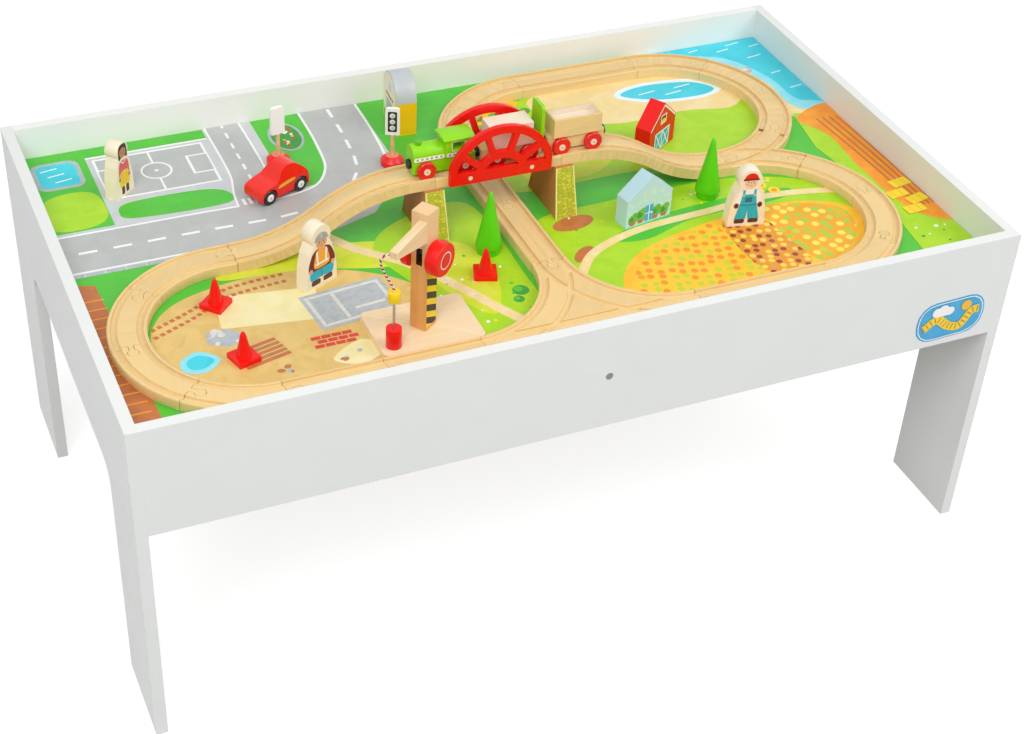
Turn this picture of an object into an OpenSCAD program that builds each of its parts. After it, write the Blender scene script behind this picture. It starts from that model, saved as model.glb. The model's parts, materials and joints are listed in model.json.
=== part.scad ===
// Children's train table: a white board table with a recessed playboard that carries a wooden railway with
// a bridge and a train, a swivelling crane, a car and loose scenery.
// The origin is on the floor under the middle of the table. X runs along it, -Y is its front and Z is up.

/* [Table] */
// Length of the table
table_l = 980; // [964:1:1100]
// Depth of the table from front to back
table_w = 572; // [562:1:700]
// Height of the rim above the floor
table_h = 404; // [320:1:520]
// Thickness of the white boards
board_t = 12.5; // [12:0.5:15]
// Height of the aprons, and of the end boards above the legs
apron_h = 128; // [110:1:170]
// Width of each leg
leg_w = 105; // [70:1:150]
// Radius of the corner between a leg and its end board
leg_corner_r = 25; // [10:1:50]
// Depth of the playboard below the rim
rim_h = 38.5; // [28:0.5:50]
// Thickness of the playboard
playboard_t = 5; // [3:0.5:9]
// Gap between the playboard and the boards around it
playboard_gap = 0.5; // [0.2:0.1:0.9]
// Height of the centre rail
rail_h = 40; // [30:1:55]
// Thickness of the centre rail
rail_t = 18; // [14:1:24]
// Side of the square cleats under the playboard
cleat_s = 15; // [10:1:20]

/* [Fasteners] */
// Radius of the bolts that hold the aprons
bolt_r = 3; // [2:0.25:3.5]
// Radius of a bolt's head
bolt_head_r = 5; // [4.5:0.25:5.5]
// Thickness of a bolt's head
bolt_head_t = 2.5; // [1.5:0.5:4]
// Reach of a bolt into the end of an apron
bolt_reach = 34; // [33:1:50]
// Radius of a barrel nut
nut_r = 5; // [4.5:0.25:6]
// Length of a barrel nut
nut_l = 10; // [8:0.5:10.5]
// Distance of a barrel nut from the end of its apron
nut_inset = 26; // [18:1:27]
// Radius of a rail screw
screw_r = 2.5; // [2:0.25:3.5]
// Radius of a rail screw's head
screw_head_r = 4; // [3.5:0.5:7]
// Thickness of a rail screw's head
screw_head_t = 2.5; // [1.5:0.5:4]
// Reach of a rail screw into the centre rail
screw_reach = 30; // [20:1:50]
// Clearance round every fastener
fastener_gap = 0.2; // [0.1:0.05:0.4]

/* [Track] */
// Width of a track piece
track_w = 40; // [38:0.5:42]
// Thickness of a track piece
track_t = 12; // [10:0.5:14]
// Distance between the two grooves, centre to centre
groove_gauge = 26; // [25:0.25:27]
// Width of a groove
groove_w = 6.5; // [6:0.25:7.5]
// Depth of a groove
groove_d = 3; // [2:0.25:4]
// Bevel along the top edges of the track
track_bevel = 1; // [0.5:0.25:2]
// Gap between the front line and the front apron
front_gap = 9.5; // [6:0.5:16]
// Gap between the left loop and the left end board
left_gap = 11.5; // [6:0.5:16]
// Gap between the right loops and the right end board
right_gap = 55.5; // [44:0.5:62]
// Gap between two joined pieces
joint_gap = 0.4; // [0.2:0.1:0.8]
// Radius of a joint peg's head
peg_r = 5.5; // [4.5:0.25:6]
// Width of a joint peg's neck
peg_neck = 5; // [4:0.25:6]
// Distance from the end of a piece to the middle of its peg's head
peg_reach = 12; // [9:0.5:13]
// Clearance round a peg in its socket
peg_gap = 0.35; // [0.2:0.05:0.6]
// Place of the bridge line across the table
line_y = -2; // [-6:0.5:4]
// Place along the table of the line that runs under the bridge
cross_x = 3; // [-4:0.5:10]
// Straight lead between the left ramp and its loop
loop_lead = 18; // [8:1:24]

/* [Bridge] */
// Length of the deck
deck_l = 148; // [138:1:156]
// Height of the deck's underside above the playboard
bridge_rise = 58; // [52:0.5:64]
// Level length at the top of a ramp
ramp_flat = 24; // [20:1:40]
// Level length at the foot of a ramp
ramp_foot = 5; // [2:1:16]
// Length of a red side
side_l = 119; // [110:1:126]
// Height of a red side at its crown
side_h = 64; // [56:1:76]
// Height of a red side at its ends
side_end_h = 22; // [16:1:26]
// Thickness of a red side
side_t = 6; // [4:0.5:8]
// Height of a red side's lower edge above the deck's underside
side_lift = 2; // [0:0.5:4]
// Width of the red side's outer band
side_band = 9; // [7:0.5:11]
// Height of the red side's bottom band
side_base = 14; // [12:0.5:16]
// Outer radius of the small arch in a red side
inner_arch_r = 33; // [31:0.5:36]
// Width of the small arch's band
inner_arch_band = 9; // [7:0.5:11]
// Width of a spoke
spoke_w = 6.5; // [4:0.25:8]
// Count of spokes in a red side
spokes = 4; // [3:1:7]
// Radius of the pins that hold a red side
pin_r = 2.5; // [2:0.25:3]
// Distance of a pin from the bridge's middle
pin_x = 36; // [28:1:44]
// Depth of a pin in the edge of the deck
pin_depth = 3.25; // [2.5:0.25:3.5]
// Width of a pier at its top
pier_top_w = 22; // [20:0.5:26]
// Width of a pier at its foot
pier_foot_w = 27; // [24:0.5:32]
// Depth of a pier at its top
pier_top_d = 50; // [44:1:56]
// Depth of a pier at its foot
pier_foot_d = 76; // [64:1:84]
// Distance of a pier's middle beyond the end of the deck
pier_out = 2.5; // [0:0.5:4]

/* [Train] */
// Radius of a train wheel
wheel_r = 10.5; // [9.5:0.25:11]
// Thickness of a train wheel
wheel_t = 5; // [4:0.25:5.25]
// Bevel on the rim of a wheel
wheel_bevel = 0.8; // [0.4:0.1:1.2]
// Radius of a wheel's hub
hub_r = 3.6; // [3:0.1:4.5]
// Height of a hub outside its wheel
hub_t = 0.8; // [0.4:0.1:1.5]
// Radius of the axles
axle_r = 2; // [1.5:0.1:2.5]
// Running clearance of an axle in its bore
axle_gap = 0.06; // [0.03:0.01:0.09]
// Clearance under and beside the wheels
wheel_gap = 0.3; // [0.2:0.05:0.6]
// Width of a chassis between its wheels
chassis_w = 20; // [17:0.25:20]
// Height of a chassis
chassis_h = 16; // [14:0.5:18]
// Depth of a chassis below its axles
chassis_drop = 5; // [4:0.25:6]
// Bevel on the upright corners of a chassis
chassis_bevel = 2; // [1:0.5:4]
// Radius of a magnet
magnet_r = 5.5; // [4:0.25:6]
// Height of a magnet's middle above the underside of its chassis
magnet_lift = 9.5; // [7:0.25:9.75]
// Reach of a magnet from its chassis
magnet_reach = 3; // [2:0.25:5]
// Gap between two facing magnets
magnet_gap = 0.3; // [0.2:0.1:0.6]
// Place of the locomotive's middle inside the left end of the deck
loco_inset = 14; // [8:1:20]
// Length of the locomotive's chassis
loco_l = 72; // [66:1:78]
// Distance between the locomotive's axles
loco_base = 44; // [38:1:48]
// Length of the boiler
boiler_l = 36; // [30:1:40]
// Width of the boiler
boiler_w = 22; // [18:0.5:26]
// Height of the boiler's straight sides
boiler_side_h = 5; // [3:0.5:8]
// Length of the cab
cab_l = 30; // [24:1:34]
// Width of the cab
cab_w = 24; // [20:0.5:28]
// Height of the cab
cab_h = 20; // [18:0.5:26]
// Width of the cab's window
window_w = 13; // [8:0.5:16]
// Height of the cab's window
window_h = 9; // [6:0.5:12]
// Height of the window's sill above the chassis
sill_h = 8; // [5:0.5:8]
// Length of the roof
roof_l = 36; // [32:1:42]
// Width of the roof
roof_w = 28; // [26:0.5:32]
// Thickness of the roof at its middle
roof_t = 4; // [3:0.25:6]
// Drop of the roof from its middle to its edges
roof_drop = 1.8; // [1:0.1:2.5]
// Radius of the chimney
chimney_r = 3.2; // [2.5:0.1:4.5]
// Height of the chimney above the boiler
chimney_h = 3.5; // [3:0.5:9]
// Distance of the chimney from the front of the boiler
chimney_inset = 9; // [7:0.5:12]
// Length of the truck's bed
truck_l = 72; // [66:1:76]
// Distance between the axles of the truck and of the wagon
wagon_base = 38; // [34:1:42]
// Thickness of the truck's end board
end_board_t = 4; // [3:0.5:6]
// Width of the truck's end board
end_board_w = 26; // [20:0.5:30]
// Height of the truck's end board
end_board_h = 42; // [30:1:50]
// Radius of the end board's top corners
end_board_r = 4; // [3:0.5:9]
// Length of the block on the truck's bed
truck_block_l = 50; // [36:1:60]
// Width of the block on the truck's bed
truck_block_w = 26; // [20:0.5:30]
// Height of the block on the truck's bed
truck_block_h = 26; // [14:0.5:32]
// Length of the wagon's chassis
wagon_l = 69; // [64:1:74]
// Length of the wagon's box
box_l = 58; // [50:1:64]
// Width of the wagon's box
box_w = 26; // [22:0.5:30]
// Height of the wagon's box
box_h = 22; // [16:0.5:28]
// Thickness of the box's walls
box_t = 3; // [2:0.25:4]
// Thickness of the box's floor
box_floor_t = 15; // [3:0.5:15]

/* [Crane] */
// Length of the base plate
crane_base_l = 109; // [90:1:118]
// Depth of the base plate
crane_base_w = 78; // [64:1:84]
// Thickness of the base plate
crane_base_t = 8; // [7:0.5:11]
// Gap between the base plate and the track in front of it
crane_track_gap = 4; // [2:0.5:8]
// Place of the crane to the left of the front three-way piece
crane_left = 44; // [40:1:60]
// Angle that the mast is turned to, from the table's length
crane_turn = 36; // [30:1:42]
// Side of the square mast
mast_s = 19; // [16:0.5:22]
// Height of the mast above the playboard
mast_top = 146; // [140:1:158]
// Clearance under the mast and round the load
swivel_gap = 0.3; // [0.2:0.05:0.5]
// Radius of the swivel pin under the mast
swivel_r = 5; // [4:0.5:7]
// Depth of the swivel pin in the base plate
swivel_depth = 5; // [4:0.25:6]
// Length of the jib
jib_l = 53.5; // [52.5:0.5:54.5]
// Thickness of the jib
jib_w = 9; // [8:0.25:9.5]
// Height of the jib's top edge at the mast, above the playboard
jib_root_z = 139; // [136:0.5:140]
// Height of the jib at the mast
jib_root_h = 24; // [18:0.5:26]
// Fall of the jib's top edge to its tip
jib_fall = 7; // [6:0.25:8]
// Height of the jib at its tip
jib_tip_h = 7; // [6:0.25:8]
// Height of the winch axle above the playboard
winch_z = 95; // [92:0.5:97]
// Radius of the winch axle
winch_axle_r = 3; // [2.5:0.25:4]
// Radius of the winch knobs
knob_r = 18; // [14:0.5:20]
// Thickness of the near knob
knob_t = 15; // [10:0.5:20]
// Thickness of the far knob
far_knob_t = 9; // [6:0.5:14]
// Bevel on the knobs' rims
knob_bevel = 1.5; // [0.5:0.25:2.5]
// Gap between a knob and the mast
knob_gap = 0.5; // [0.3:0.1:1]
// Width of the slot in the mast for the string
slot_w = 7; // [6:0.25:9]
// Height of the slot in the mast
slot_h = 20; // [14:0.5:24]
// Radius of the load
load_r = 8; // [7:0.25:9]
// Height of the load
load_h = 22; // [18:0.5:26]
// Radius of the load's metal pin
load_pin_r = 1.4; // [1:0.1:2]
// Depth of the metal pin in the load
load_pin_depth = 10; // [6:0.5:15]
// Radius of the toggle
toggle_r = 6.5; // [5:0.25:8]
// Height of the toggle
toggle_h = 11; // [9:0.5:12]
// Depth of the string in the toggle
toggle_hole = 5; // [3:0.5:6]
// Diameter of the hoist string
string_d = 2.4; // [1.8:0.1:3]

/* [Car] */
// Length of the car
car_l = 68; // [64:1:76]
// Width of the car
car_w = 31; // [28:0.5:36]
// Height of the car's roof above the ground
car_h = 38; // [34:0.5:44]
// Height of the car's floor above the ground
car_floor = 5; // [4:0.25:6]
// Distance between the car's axles
car_base = 44; // [42:0.5:47]
// Radius of a car wheel
car_wheel_r = 9; // [8:0.25:9.5]
// Thickness of a car wheel
car_wheel_t = 6; // [5:0.25:7]
// Room round a wheel in its arch
car_arch_gap = 1.2; // [0.8:0.1:2]
// Angle of the car's heading from the table's length
car_heading = 23; // [18:1:28]

/* [Scenery] */
// Side of a cone's square base
cone_base = 24.5; // [20:0.5:30]
// Thickness of a cone's base
cone_base_t = 6; // [4:0.5:8]
// Radius of a cone at its foot
cone_r = 8; // [6:0.25:10]
// Radius of a cone at its tip
cone_tip_r = 2.8; // [2:0.1:4]
// Height of a cone above the playboard
cone_h = 33.5; // [28:0.5:40]
// Radius of a tree at its foot
tree_r = 14.5; // [12:0.5:16]
// Radius of a tree at its tip
tree_tip_r = 2; // [1:0.25:3]
// Height of a tree
tree_h = 76; // [60:1:84]
// Height of a tree's plain foot
tree_foot_h = 9; // [5:0.5:12]
// Inset of a tree's plain foot
tree_foot_in = 2; // [0.5:0.25:3]
// Width of the blue house
blue_w = 62; // [54:1:66]
// Height of the blue house's walls
blue_wall_h = 35; // [30:0.5:42]
// Height of the blue house's ridge
blue_top = 60; // [52:0.5:66]
// Depth of the blue house
blue_d = 20; // [14:0.5:22]
// Width of the red house
red_w = 60; // [50:1:64]
// Height of the red house's walls
red_wall_h = 36; // [30:0.5:42]
// Height of the red house's ridge
red_top = 62; // [52:0.5:66]
// Depth of the red house
red_d = 20; // [16:0.5:22]
// Width of the depot across its round roof
depot_w = 55; // [46:1:60]
// Height of the depot's walls
depot_wall_h = 42; // [34:0.5:48]
// Depth of the depot along its ridge
depot_d = 25; // [20:0.5:28]
// Radius of a sign's base
sign_base_r = 13.5; // [11:0.5:15]
// Height of a sign's base
sign_base_h = 12; // [9:0.5:14]
// Radius of a sign's post
sign_post_r = 2.4; // [2:0.1:3]
// Width of a sign's plate
plate_w = 16.5; // [13:0.5:20]
// Height of a sign's plate
plate_h = 34; // [28:0.5:40]
// Thickness of a sign's plate
plate_t = 4; // [3:0.25:5]
// Height of a plate's lower edge above the playboard
plate_z = 39; // [34:0.5:44]
// Radius of a plate's top corners
plate_r = 3; // [2:0.5:6]
// Thickness of the flat figures
figure_t = 16; // [10:0.5:18]

/* [Hidden] */
$fn = 64;

// Overrun of every cut past the face that it opens
cut = 1;

// Table, worked out
board_top = table_h - rim_h;
board_under = board_top - playboard_t;
inner_l = table_l - 2 * board_t;
inner_w = table_w - 2 * board_t;
leg_gap_w = table_w - 2 * leg_w;
leg_gap_h = table_h - apron_h;
bolt_z = table_h - apron_h / 2;
rail_z = board_under - rail_h / 2;

// Railway, worked out
curve_r = (inner_w / 2 - front_gap - track_w / 2 + line_y) / 2;
loop_reach = curve_r + track_w / 2;
left_loop_x = -inner_l / 2 + left_gap + loop_reach;
right_loop_x = inner_l / 2 - right_gap - loop_reach;
ramp_left_x = left_loop_x + loop_lead;
ramp_l = (right_loop_x - ramp_left_x - deck_l) / 2;
bridge_x = ramp_left_x + ramp_l + deck_l / 2;
loop_y = line_y - curve_r;
front_y = line_y - 2 * curve_r;
back_y = line_y + 2 * curve_r;
curve_turn = 45;
gap_turn = joint_gap / curve_r * 180 / PI;
ramp_run = ramp_l - ramp_flat - ramp_foot;
ramp_turn = 2 * atan(bridge_rise / ramp_run);
ramp_r = ramp_run / (2 * sin(ramp_turn));
front_left_l = cross_x - curve_r - left_loop_x;
front_right_l = right_loop_x - cross_x - curve_r;

// Bridge sides, worked out: the crown is an arc through the crown and the tops of both ends
side_rise = side_h - side_end_h;
side_r = (side_l * side_l / 4 + side_rise * side_rise) / (2 * side_rise);
side_c = side_h - side_r;
window_low_r = inner_arch_r;
window_high_r = side_r - side_band;
pin_z = side_base / 2;
side_z = bridge_rise + side_lift;

// Train, worked out
train_axle_z = bridge_rise + track_t - groove_d + wheel_r + wheel_gap;
chassis_z = train_axle_z - chassis_drop;
deck_z = chassis_z + chassis_h;
magnet_z = chassis_z + magnet_lift;
loco_x = bridge_x - deck_l / 2 + loco_inset;
truck_x = loco_x + loco_l / 2 + truck_l / 2 + 2 * magnet_reach + magnet_gap;
wagon_x = truck_x + truck_l / 2 + wagon_l / 2 + 2 * magnet_reach + magnet_gap;
boiler_r = boiler_w / 2;
roof_arc_r = (roof_w * roof_w / 4 + roof_drop * roof_drop) / (2 * roof_drop);
cab_x = loco_x - loco_l / 2 + boiler_l;

// Crane, worked out
crane_x = cross_x - curve_r - crane_left;
crane_y = front_y + track_w / 2 + crane_track_gap + crane_base_w / 2;
mast_z = crane_base_t + swivel_gap;
load_z = crane_base_t + swivel_gap;

// Route of the hoist string in the crane's own frame, from inside the jib's tip to inside the toggle
string_route = [
    [-60, -3, 128], [-61.5, -1, 128], [-63.2, 1.2, 127.6], [-64.7, 3.4, 126.4], [-65.8, 5.4, 124.2],
    [-66, 7, 121], [-65.2, 7.9, 117.2], [-63.8, 8.4, 113.2], [-62, 8.6, 109], [-60, 8.5, 104.7],
    [-57.9, 8.2, 100.2], [-55.7, 7.7, 95.6], [-53.5, 7.1, 91], [-51.4, 6.3, 86.4], [-49.4, 5.2, 81.8],
    [-47.8, 4.4, 77.4], [-47, 4, 73.2], [-47, 4, 69]
];
string_sides = 8;
string_end = string_route[len(string_route) - 1];
load_spot = [string_end[0], string_end[1], 0];
toggle_z = string_end[2] + toggle_hole - toggle_h;
load_pin_l = toggle_z - load_z - load_h;

// Places of the scenery, as shares of the curve radius from an anchor, and their turns in degrees
left_cone_shares = [[-0.17, 0.43], [-0.16, -0.36]];
left_cone_turns = [44, 16];
cross_cone_share = [-0.56, -0.91];
cross_cone_turn = -19;
cross_tree_share = [-0.39, -0.58];
right_tree_share = [-0.385, 0.6];
blue_share = [-1.134, 0.455];
blue_turn = 10;
red_share = [-0.4575, 1.57];
red_turn = 33;
depot_share = [-0.35, 1.765];
depot_turn = -5;
sign_shares = [[-0.68, 1.09], [-1.69, 1.45]];
sign_turns = [-24, 190];
car_share = [-1.86, 0.955];
builder_share = [0.74, 0.48];
farmer_share = [-0.28, 0.09];
walker_share = [-0.4993, 2.42];
figure_turns = [26, -11, 43];
// Widths and heights of the three figures: builder, farmer and walker
builder_w = 43;
builder_h = 74;
farmer_w = 43;
farmer_h = 71;
walker_w = 33;
walker_h = 66;

// Outline of a figure as shares of its width and height
figure_foot_share = 0.12;
figure_hip_shares = [0.47, 0.34];
figure_shoulder_shares = [0.38, 0.58];
figure_neck_shares = [0.2, 0.8];
figure_head_share = 0.31;

// Side outline of the car as shares of its length and of its height above the floor
car_side_shares = [
    [-0.5, 0.06], [-0.495, 0.3], [-0.45, 0.42], [-0.3, 0.52], [-0.16, 0.58], [-0.07, 0.78], [0.02, 0.95],
    [0.13, 1], [0.26, 0.95], [0.38, 0.78], [0.46, 0.6], [0.495, 0.4], [0.5, 0.06]
];
car_curve_steps = 4;
// Front outline of the car: its shoulder height and its roof's width as shares
car_shoulder_share = 0.55;
car_roof_w_share = 0.66;

function spot(share) = [cross_x + share[0] * curve_r, line_y + share[1] * curve_r, board_top];
function left_spot(share) = [left_loop_x + share[0] * curve_r, loop_y + share[1] * curve_r, board_top];
function right_spot(share) = [right_loop_x + share[0] * curve_r, loop_y + share[1] * curve_r, board_top];

// A point on the smooth curve through four neighbouring points
function curve_point(p, q, r, s, t) =
    0.5 * (2 * q + (r - p) * t + (2 * p - 5 * q + 4 * r - s) * t * t
        + (3 * q - p - 3 * r + s) * t * t * t);
function smooth(points, steps) = concat(
    [for (i = [0 : len(points) - 2], k = [0 : steps - 1])
        curve_point(points[max(i - 1, 0)], points[i], points[i + 1], points[min(i + 2, len(points) - 1)],
            k / steps)],
    [points[len(points) - 1]]);

// Shared shapes

// Upright block with bevelled corners, centred on X and Y
module bevelled_block(l, w, h, bevel) {
    linear_extrude(h)
        polygon([
            [-l / 2 + bevel, -w / 2], [l / 2 - bevel, -w / 2], [l / 2, -w / 2 + bevel],
            [l / 2, w / 2 - bevel], [l / 2 - bevel, w / 2], [-l / 2 + bevel, w / 2],
            [-l / 2, w / 2 - bevel], [-l / 2, -w / 2 + bevel]
        ]);
}

// Plate outline with two rounded top corners, its lower edge on the X axis
module round_top(w, h, r) {
    translate([-w / 2, 0]) square([w, h - r]);
    translate([-w / 2 + r, 0]) square([w - 2 * r, h]);
    for (s = [-1, 1]) translate([s * (w / 2 - r), h - r]) circle(r);
}

// Sets an outline upright: its X stays, its Y becomes Z, and its thickness is centred on Y
module upright(t) {
    translate([0, t / 2, 0]) rotate([90, 0, 0]) linear_extrude(t) children();
}

module on_board() {
    translate([0, 0, board_top]) children();
}

// Table

module leg_gap_outline() {
    translate([-leg_gap_w / 2, -cut]) square([leg_gap_w, leg_gap_h - leg_corner_r + cut]);
    translate([-leg_gap_w / 2 + leg_corner_r, -cut])
        square([leg_gap_w - 2 * leg_corner_r, leg_gap_h + cut]);
    for (s = [-1, 1]) translate([s * (leg_gap_w / 2 - leg_corner_r), leg_gap_h - leg_corner_r])
        circle(leg_corner_r);
}

// Bolt along X with its head's outer face at the origin, grown by the clearance for its hole
module bolt(gap) {
    rotate([0, 90, 0]) {
        cylinder(r = bolt_head_r + gap, h = bolt_head_t);
        cylinder(r = bolt_r + gap, h = board_t + bolt_reach + gap);
    }
}

// The four bolts' places: side of the table along X, and front or back
module at_bolts() {
    for (sx = [-1, 1], sy = [-1, 1])
        translate([sx * table_l / 2, sy * (table_w - board_t) / 2, bolt_z]) rotate(sx > 0 ? 180 : 0)
            children();
}

module end_panel(side) {
    color("whitesmoke") difference() {
        translate([side * (table_l - board_t) / 2 - board_t / 2, 0, 0]) rotate([90, 0, 90])
            linear_extrude(board_t) difference() {
                translate([-table_w / 2, 0]) square([table_w, table_h]);
                leg_gap_outline();
            }
        at_bolts() translate([-cut, 0, 0]) {
            bolt(fastener_gap);
            translate([cut, 0, 0]) bolt(fastener_gap);
        }
    }
}

module end_panel_left() { end_panel(-1); }
module end_panel_right() { end_panel(1); }

// Rail screw along Y with its head's outer face at the origin
module rail_screw(gap) {
    rotate([-90, 0, 0]) {
        cylinder(r = screw_head_r + gap, h = screw_head_t);
        cylinder(r = screw_r + gap, h = board_t + screw_reach + gap);
    }
}

module at_rail_screws() {
    for (s = [-1, 1]) translate([0, s * table_w / 2, rail_z]) rotate(s > 0 ? 180 : 0) children();
}

// The four barrel nuts' places in the middle of the aprons, each with Z towards the inside of the table
module at_nuts() {
    for (sx = [-1, 1], sy = [-1, 1])
        translate([sx * (inner_l / 2 - nut_inset), sy * (table_w - board_t) / 2, bolt_z])
            rotate([sy * 90, 0, 0]) translate([0, 0, -nut_l / 2]) children();
}

module apron(side) {
    color("whitesmoke") difference() {
        translate([-inner_l / 2, side * (table_w - board_t) / 2 - board_t / 2, table_h - apron_h])
            cube([inner_l, board_t, apron_h]);
        at_bolts() bolt(fastener_gap);
        at_nuts() translate([0, 0, -fastener_gap])
            cylinder(r = nut_r + fastener_gap, h = nut_l + board_t / 2 + fastener_gap);
        at_rail_screws() translate([0, -cut, 0]) {
            rail_screw(fastener_gap);
            translate([0, cut, 0]) rail_screw(fastener_gap);
        }
    }
}

module front_apron() { apron(-1); }
module back_apron() { apron(1); }

module playboard() {
    color("yellowgreen")
        translate([-inner_l / 2 + playboard_gap, -inner_w / 2 + playboard_gap, board_under])
            cube([inner_l - 2 * playboard_gap, inner_w - 2 * playboard_gap, playboard_t]);
}

module centre_rail() {
    color("burlywood") difference() {
        translate([-rail_t / 2, -inner_w / 2, board_under - rail_h]) cube([rail_t, inner_w, rail_h]);
        at_rail_screws() rail_screw(fastener_gap);
    }
}

// Long cleats in two halves beside the centre rail, and end cleats between them
module cleats() {
    half_l = inner_l / 2 - rail_t / 2;
    end_l = inner_w - 2 * cleat_s - 2 * playboard_gap;
    color("burlywood") {
        for (sx = [-1, 1], sy = [-1, 1])
            translate([sx * (rail_t + half_l) / 2 - half_l / 2, sy * (inner_w - cleat_s) / 2 - cleat_s / 2,
                board_under - cleat_s]) cube([half_l, cleat_s, cleat_s]);
        for (sx = [-1, 1])
            translate([sx * (inner_l - cleat_s) / 2 - cleat_s / 2, -end_l / 2, board_under - cleat_s])
                cube([cleat_s, end_l, cleat_s]);
    }
}

module panel_bolts() {
    color("silver") at_bolts() bolt(0);
}

module barrel_nuts() {
    color("gray") difference() {
        at_nuts() cylinder(r = nut_r, h = nut_l);
        at_bolts() bolt(fastener_gap);
    }
}

module rail_screws() {
    color("silver") at_rail_screws() rail_screw(0);
}

// Railway: every piece starts at the origin heading along +X, with a socket there and a peg at its end

module track_blank_section() {
    polygon([
        [-track_w / 2, 0], [track_w / 2, 0], [track_w / 2, track_t - track_bevel],
        [track_w / 2 - track_bevel, track_t], [-track_w / 2 + track_bevel, track_t],
        [-track_w / 2, track_t - track_bevel]
    ]);
}

module groove_section() {
    for (s = [-1, 1]) translate([s * groove_gauge / 2 - groove_w / 2, track_t - groove_d])
        square([groove_w, groove_d + cut]);
}

module track_section() {
    difference() {
        track_blank_section();
        groove_section();
    }
}

// Sweeps a section straight along +X
module run(l) {
    rotate([90, 0, 90]) linear_extrude(l) children();
}

// Sweeps a section along a curve to the left, from one turn to another
module bend(from, to) {
    translate([0, curve_r, 0]) rotate(from - 90) rotate_extrude(angle = to - from) translate([curve_r, 0])
        children();
}

module peg() {
    translate([-peg_neck / 2, -peg_neck / 2, 0]) cube([peg_reach + peg_neck / 2, peg_neck, track_t]);
    translate([peg_reach, 0, 0]) cylinder(r = peg_r, h = track_t);
}

module socket() {
    slot = peg_neck + 2 * peg_gap;
    translate([-cut, -slot / 2, -cut]) cube([peg_reach + cut, slot, track_t + 2 * cut]);
    translate([peg_reach, 0, -cut]) cylinder(r = peg_r + peg_gap, h = track_t + 2 * cut);
}

// Moves to the end of a curve to the left
module bend_end(turn) {
    translate([curve_r * sin(turn), curve_r * (1 - cos(turn)), 0]) rotate(turn) children();
}

module straight_piece(l) {
    difference() {
        translate([joint_gap, 0, 0]) run(l - joint_gap) track_section();
        socket();
    }
    translate([l, 0, 0]) peg();
}

// Curve to the left, with an optional straight lead before it
module curve_piece(lead) {
    difference() {
        union() {
            if (lead > 0) translate([joint_gap, 0, 0]) run(lead - joint_gap) track_section();
            translate([lead, 0, 0]) bend(lead > 0 ? 0 : gap_turn, curve_turn) track_section();
        }
        socket();
    }
    translate([lead, 0, 0]) bend_end(curve_turn) peg();
}

// A row of curves that follow each other, the first one with the lead
module curve_row(count, lead) {
    for (i = [0 : count - 1])
        translate([i > 0 ? lead : 0, 0, 0]) bend_end(i * curve_turn) curve_piece(i > 0 ? 0 : lead);
}

module left_curves() {
    color("burlywood") on_board() translate([ramp_left_x, line_y, 0]) rotate(180) curve_row(4, loop_lead);
}

module right_curves() {
    color("burlywood") on_board() translate([right_loop_x, front_y, 0]) curve_row(3, 0);
}

module back_curves() {
    color("burlywood") on_board() {
        translate([right_loop_x, line_y, 0]) bend_end(curve_turn) curve_row(3, 0);
        translate([cross_x + curve_r, back_y, 0]) rotate(180) curve_row(2, 0);
    }
}

module straights() {
    color("burlywood") on_board() {
        for (i = [0, 1]) {
            translate([left_loop_x + i * front_left_l / 2, front_y, 0]) straight_piece(front_left_l / 2);
            translate([cross_x, line_y + curve_r - i * curve_r, 0]) rotate(-90) straight_piece(curve_r);
        }
        translate([cross_x + curve_r, front_y, 0]) straight_piece(front_right_l);
        translate([right_loop_x, back_y, 0]) rotate(180) straight_piece(front_right_l);
    }
}

// Three-way piece: the stem starts at the origin, both arms turn a quarter, and a straight joins their ends
module front_wye() {
    quarter = 90;
    color("burlywood") on_board() translate([cross_x, loop_y, 0]) rotate(-quarter) {
        difference() {
            translate([joint_gap, -curve_r + joint_gap, 0])
                cube([curve_r + track_w / 2 - joint_gap, 2 * curve_r - joint_gap, track_t]);
            for (s = [-1, 1]) translate([0, s * curve_r, -cut])
                cylinder(r = curve_r - track_w / 2, h = track_t + 2 * cut);
            bend(0, quarter) groove_section();
            mirror([0, 1, 0]) bend(0, quarter) groove_section();
            translate([curve_r, -curve_r, 0]) rotate(quarter) run(2 * curve_r) groove_section();
            socket();
            translate([curve_r, -curve_r, 0]) rotate(quarter) socket();
        }
        translate([curve_r, curve_r, 0]) rotate(quarter) peg();
    }
}

module right_wye() {
    color("burlywood") on_board() translate([right_loop_x, line_y, 0]) {
        difference() {
            union() {
                bend(gap_turn, curve_turn) track_blank_section();
                mirror([0, 1, 0]) bend(gap_turn, curve_turn - gap_turn) track_blank_section();
            }
            bend(0, curve_turn) groove_section();
            mirror([0, 1, 0]) bend(0, curve_turn) groove_section();
            socket();
            mirror([0, 1, 0]) bend_end(curve_turn) rotate(180) socket();
        }
        bend_end(curve_turn) peg();
    }
}

// Part of a ring between two angles
module sector(r_low, r_high, from, to) {
    intersection() {
        difference() {
            circle(r_high);
            circle(r_low);
        }
        polygon([[0, 0], 2 * r_high * [cos(from), sin(from)], 2 * r_high * [cos(to), sin(to)]]);
    }
}

// Side outline of a ramp that falls along +X from the deck, between two heights in the track's thickness:
// level top, hump, dip and level foot
module ramp_outline(low, high) {
    mid = track_t / 2;
    translate([joint_gap, bridge_rise + low]) square([ramp_flat - joint_gap, high - low]);
    translate([ramp_flat, bridge_rise + mid - ramp_r])
        sector(ramp_r - mid + low, ramp_r - mid + high, 90 - ramp_turn, 90);
    translate([ramp_l - ramp_foot, mid + ramp_r])
        sector(ramp_r + mid - high, ramp_r + mid - low, 270 - ramp_turn, 270);
    translate([ramp_l - ramp_foot, low]) square([ramp_foot, high - low]);
}

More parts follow.
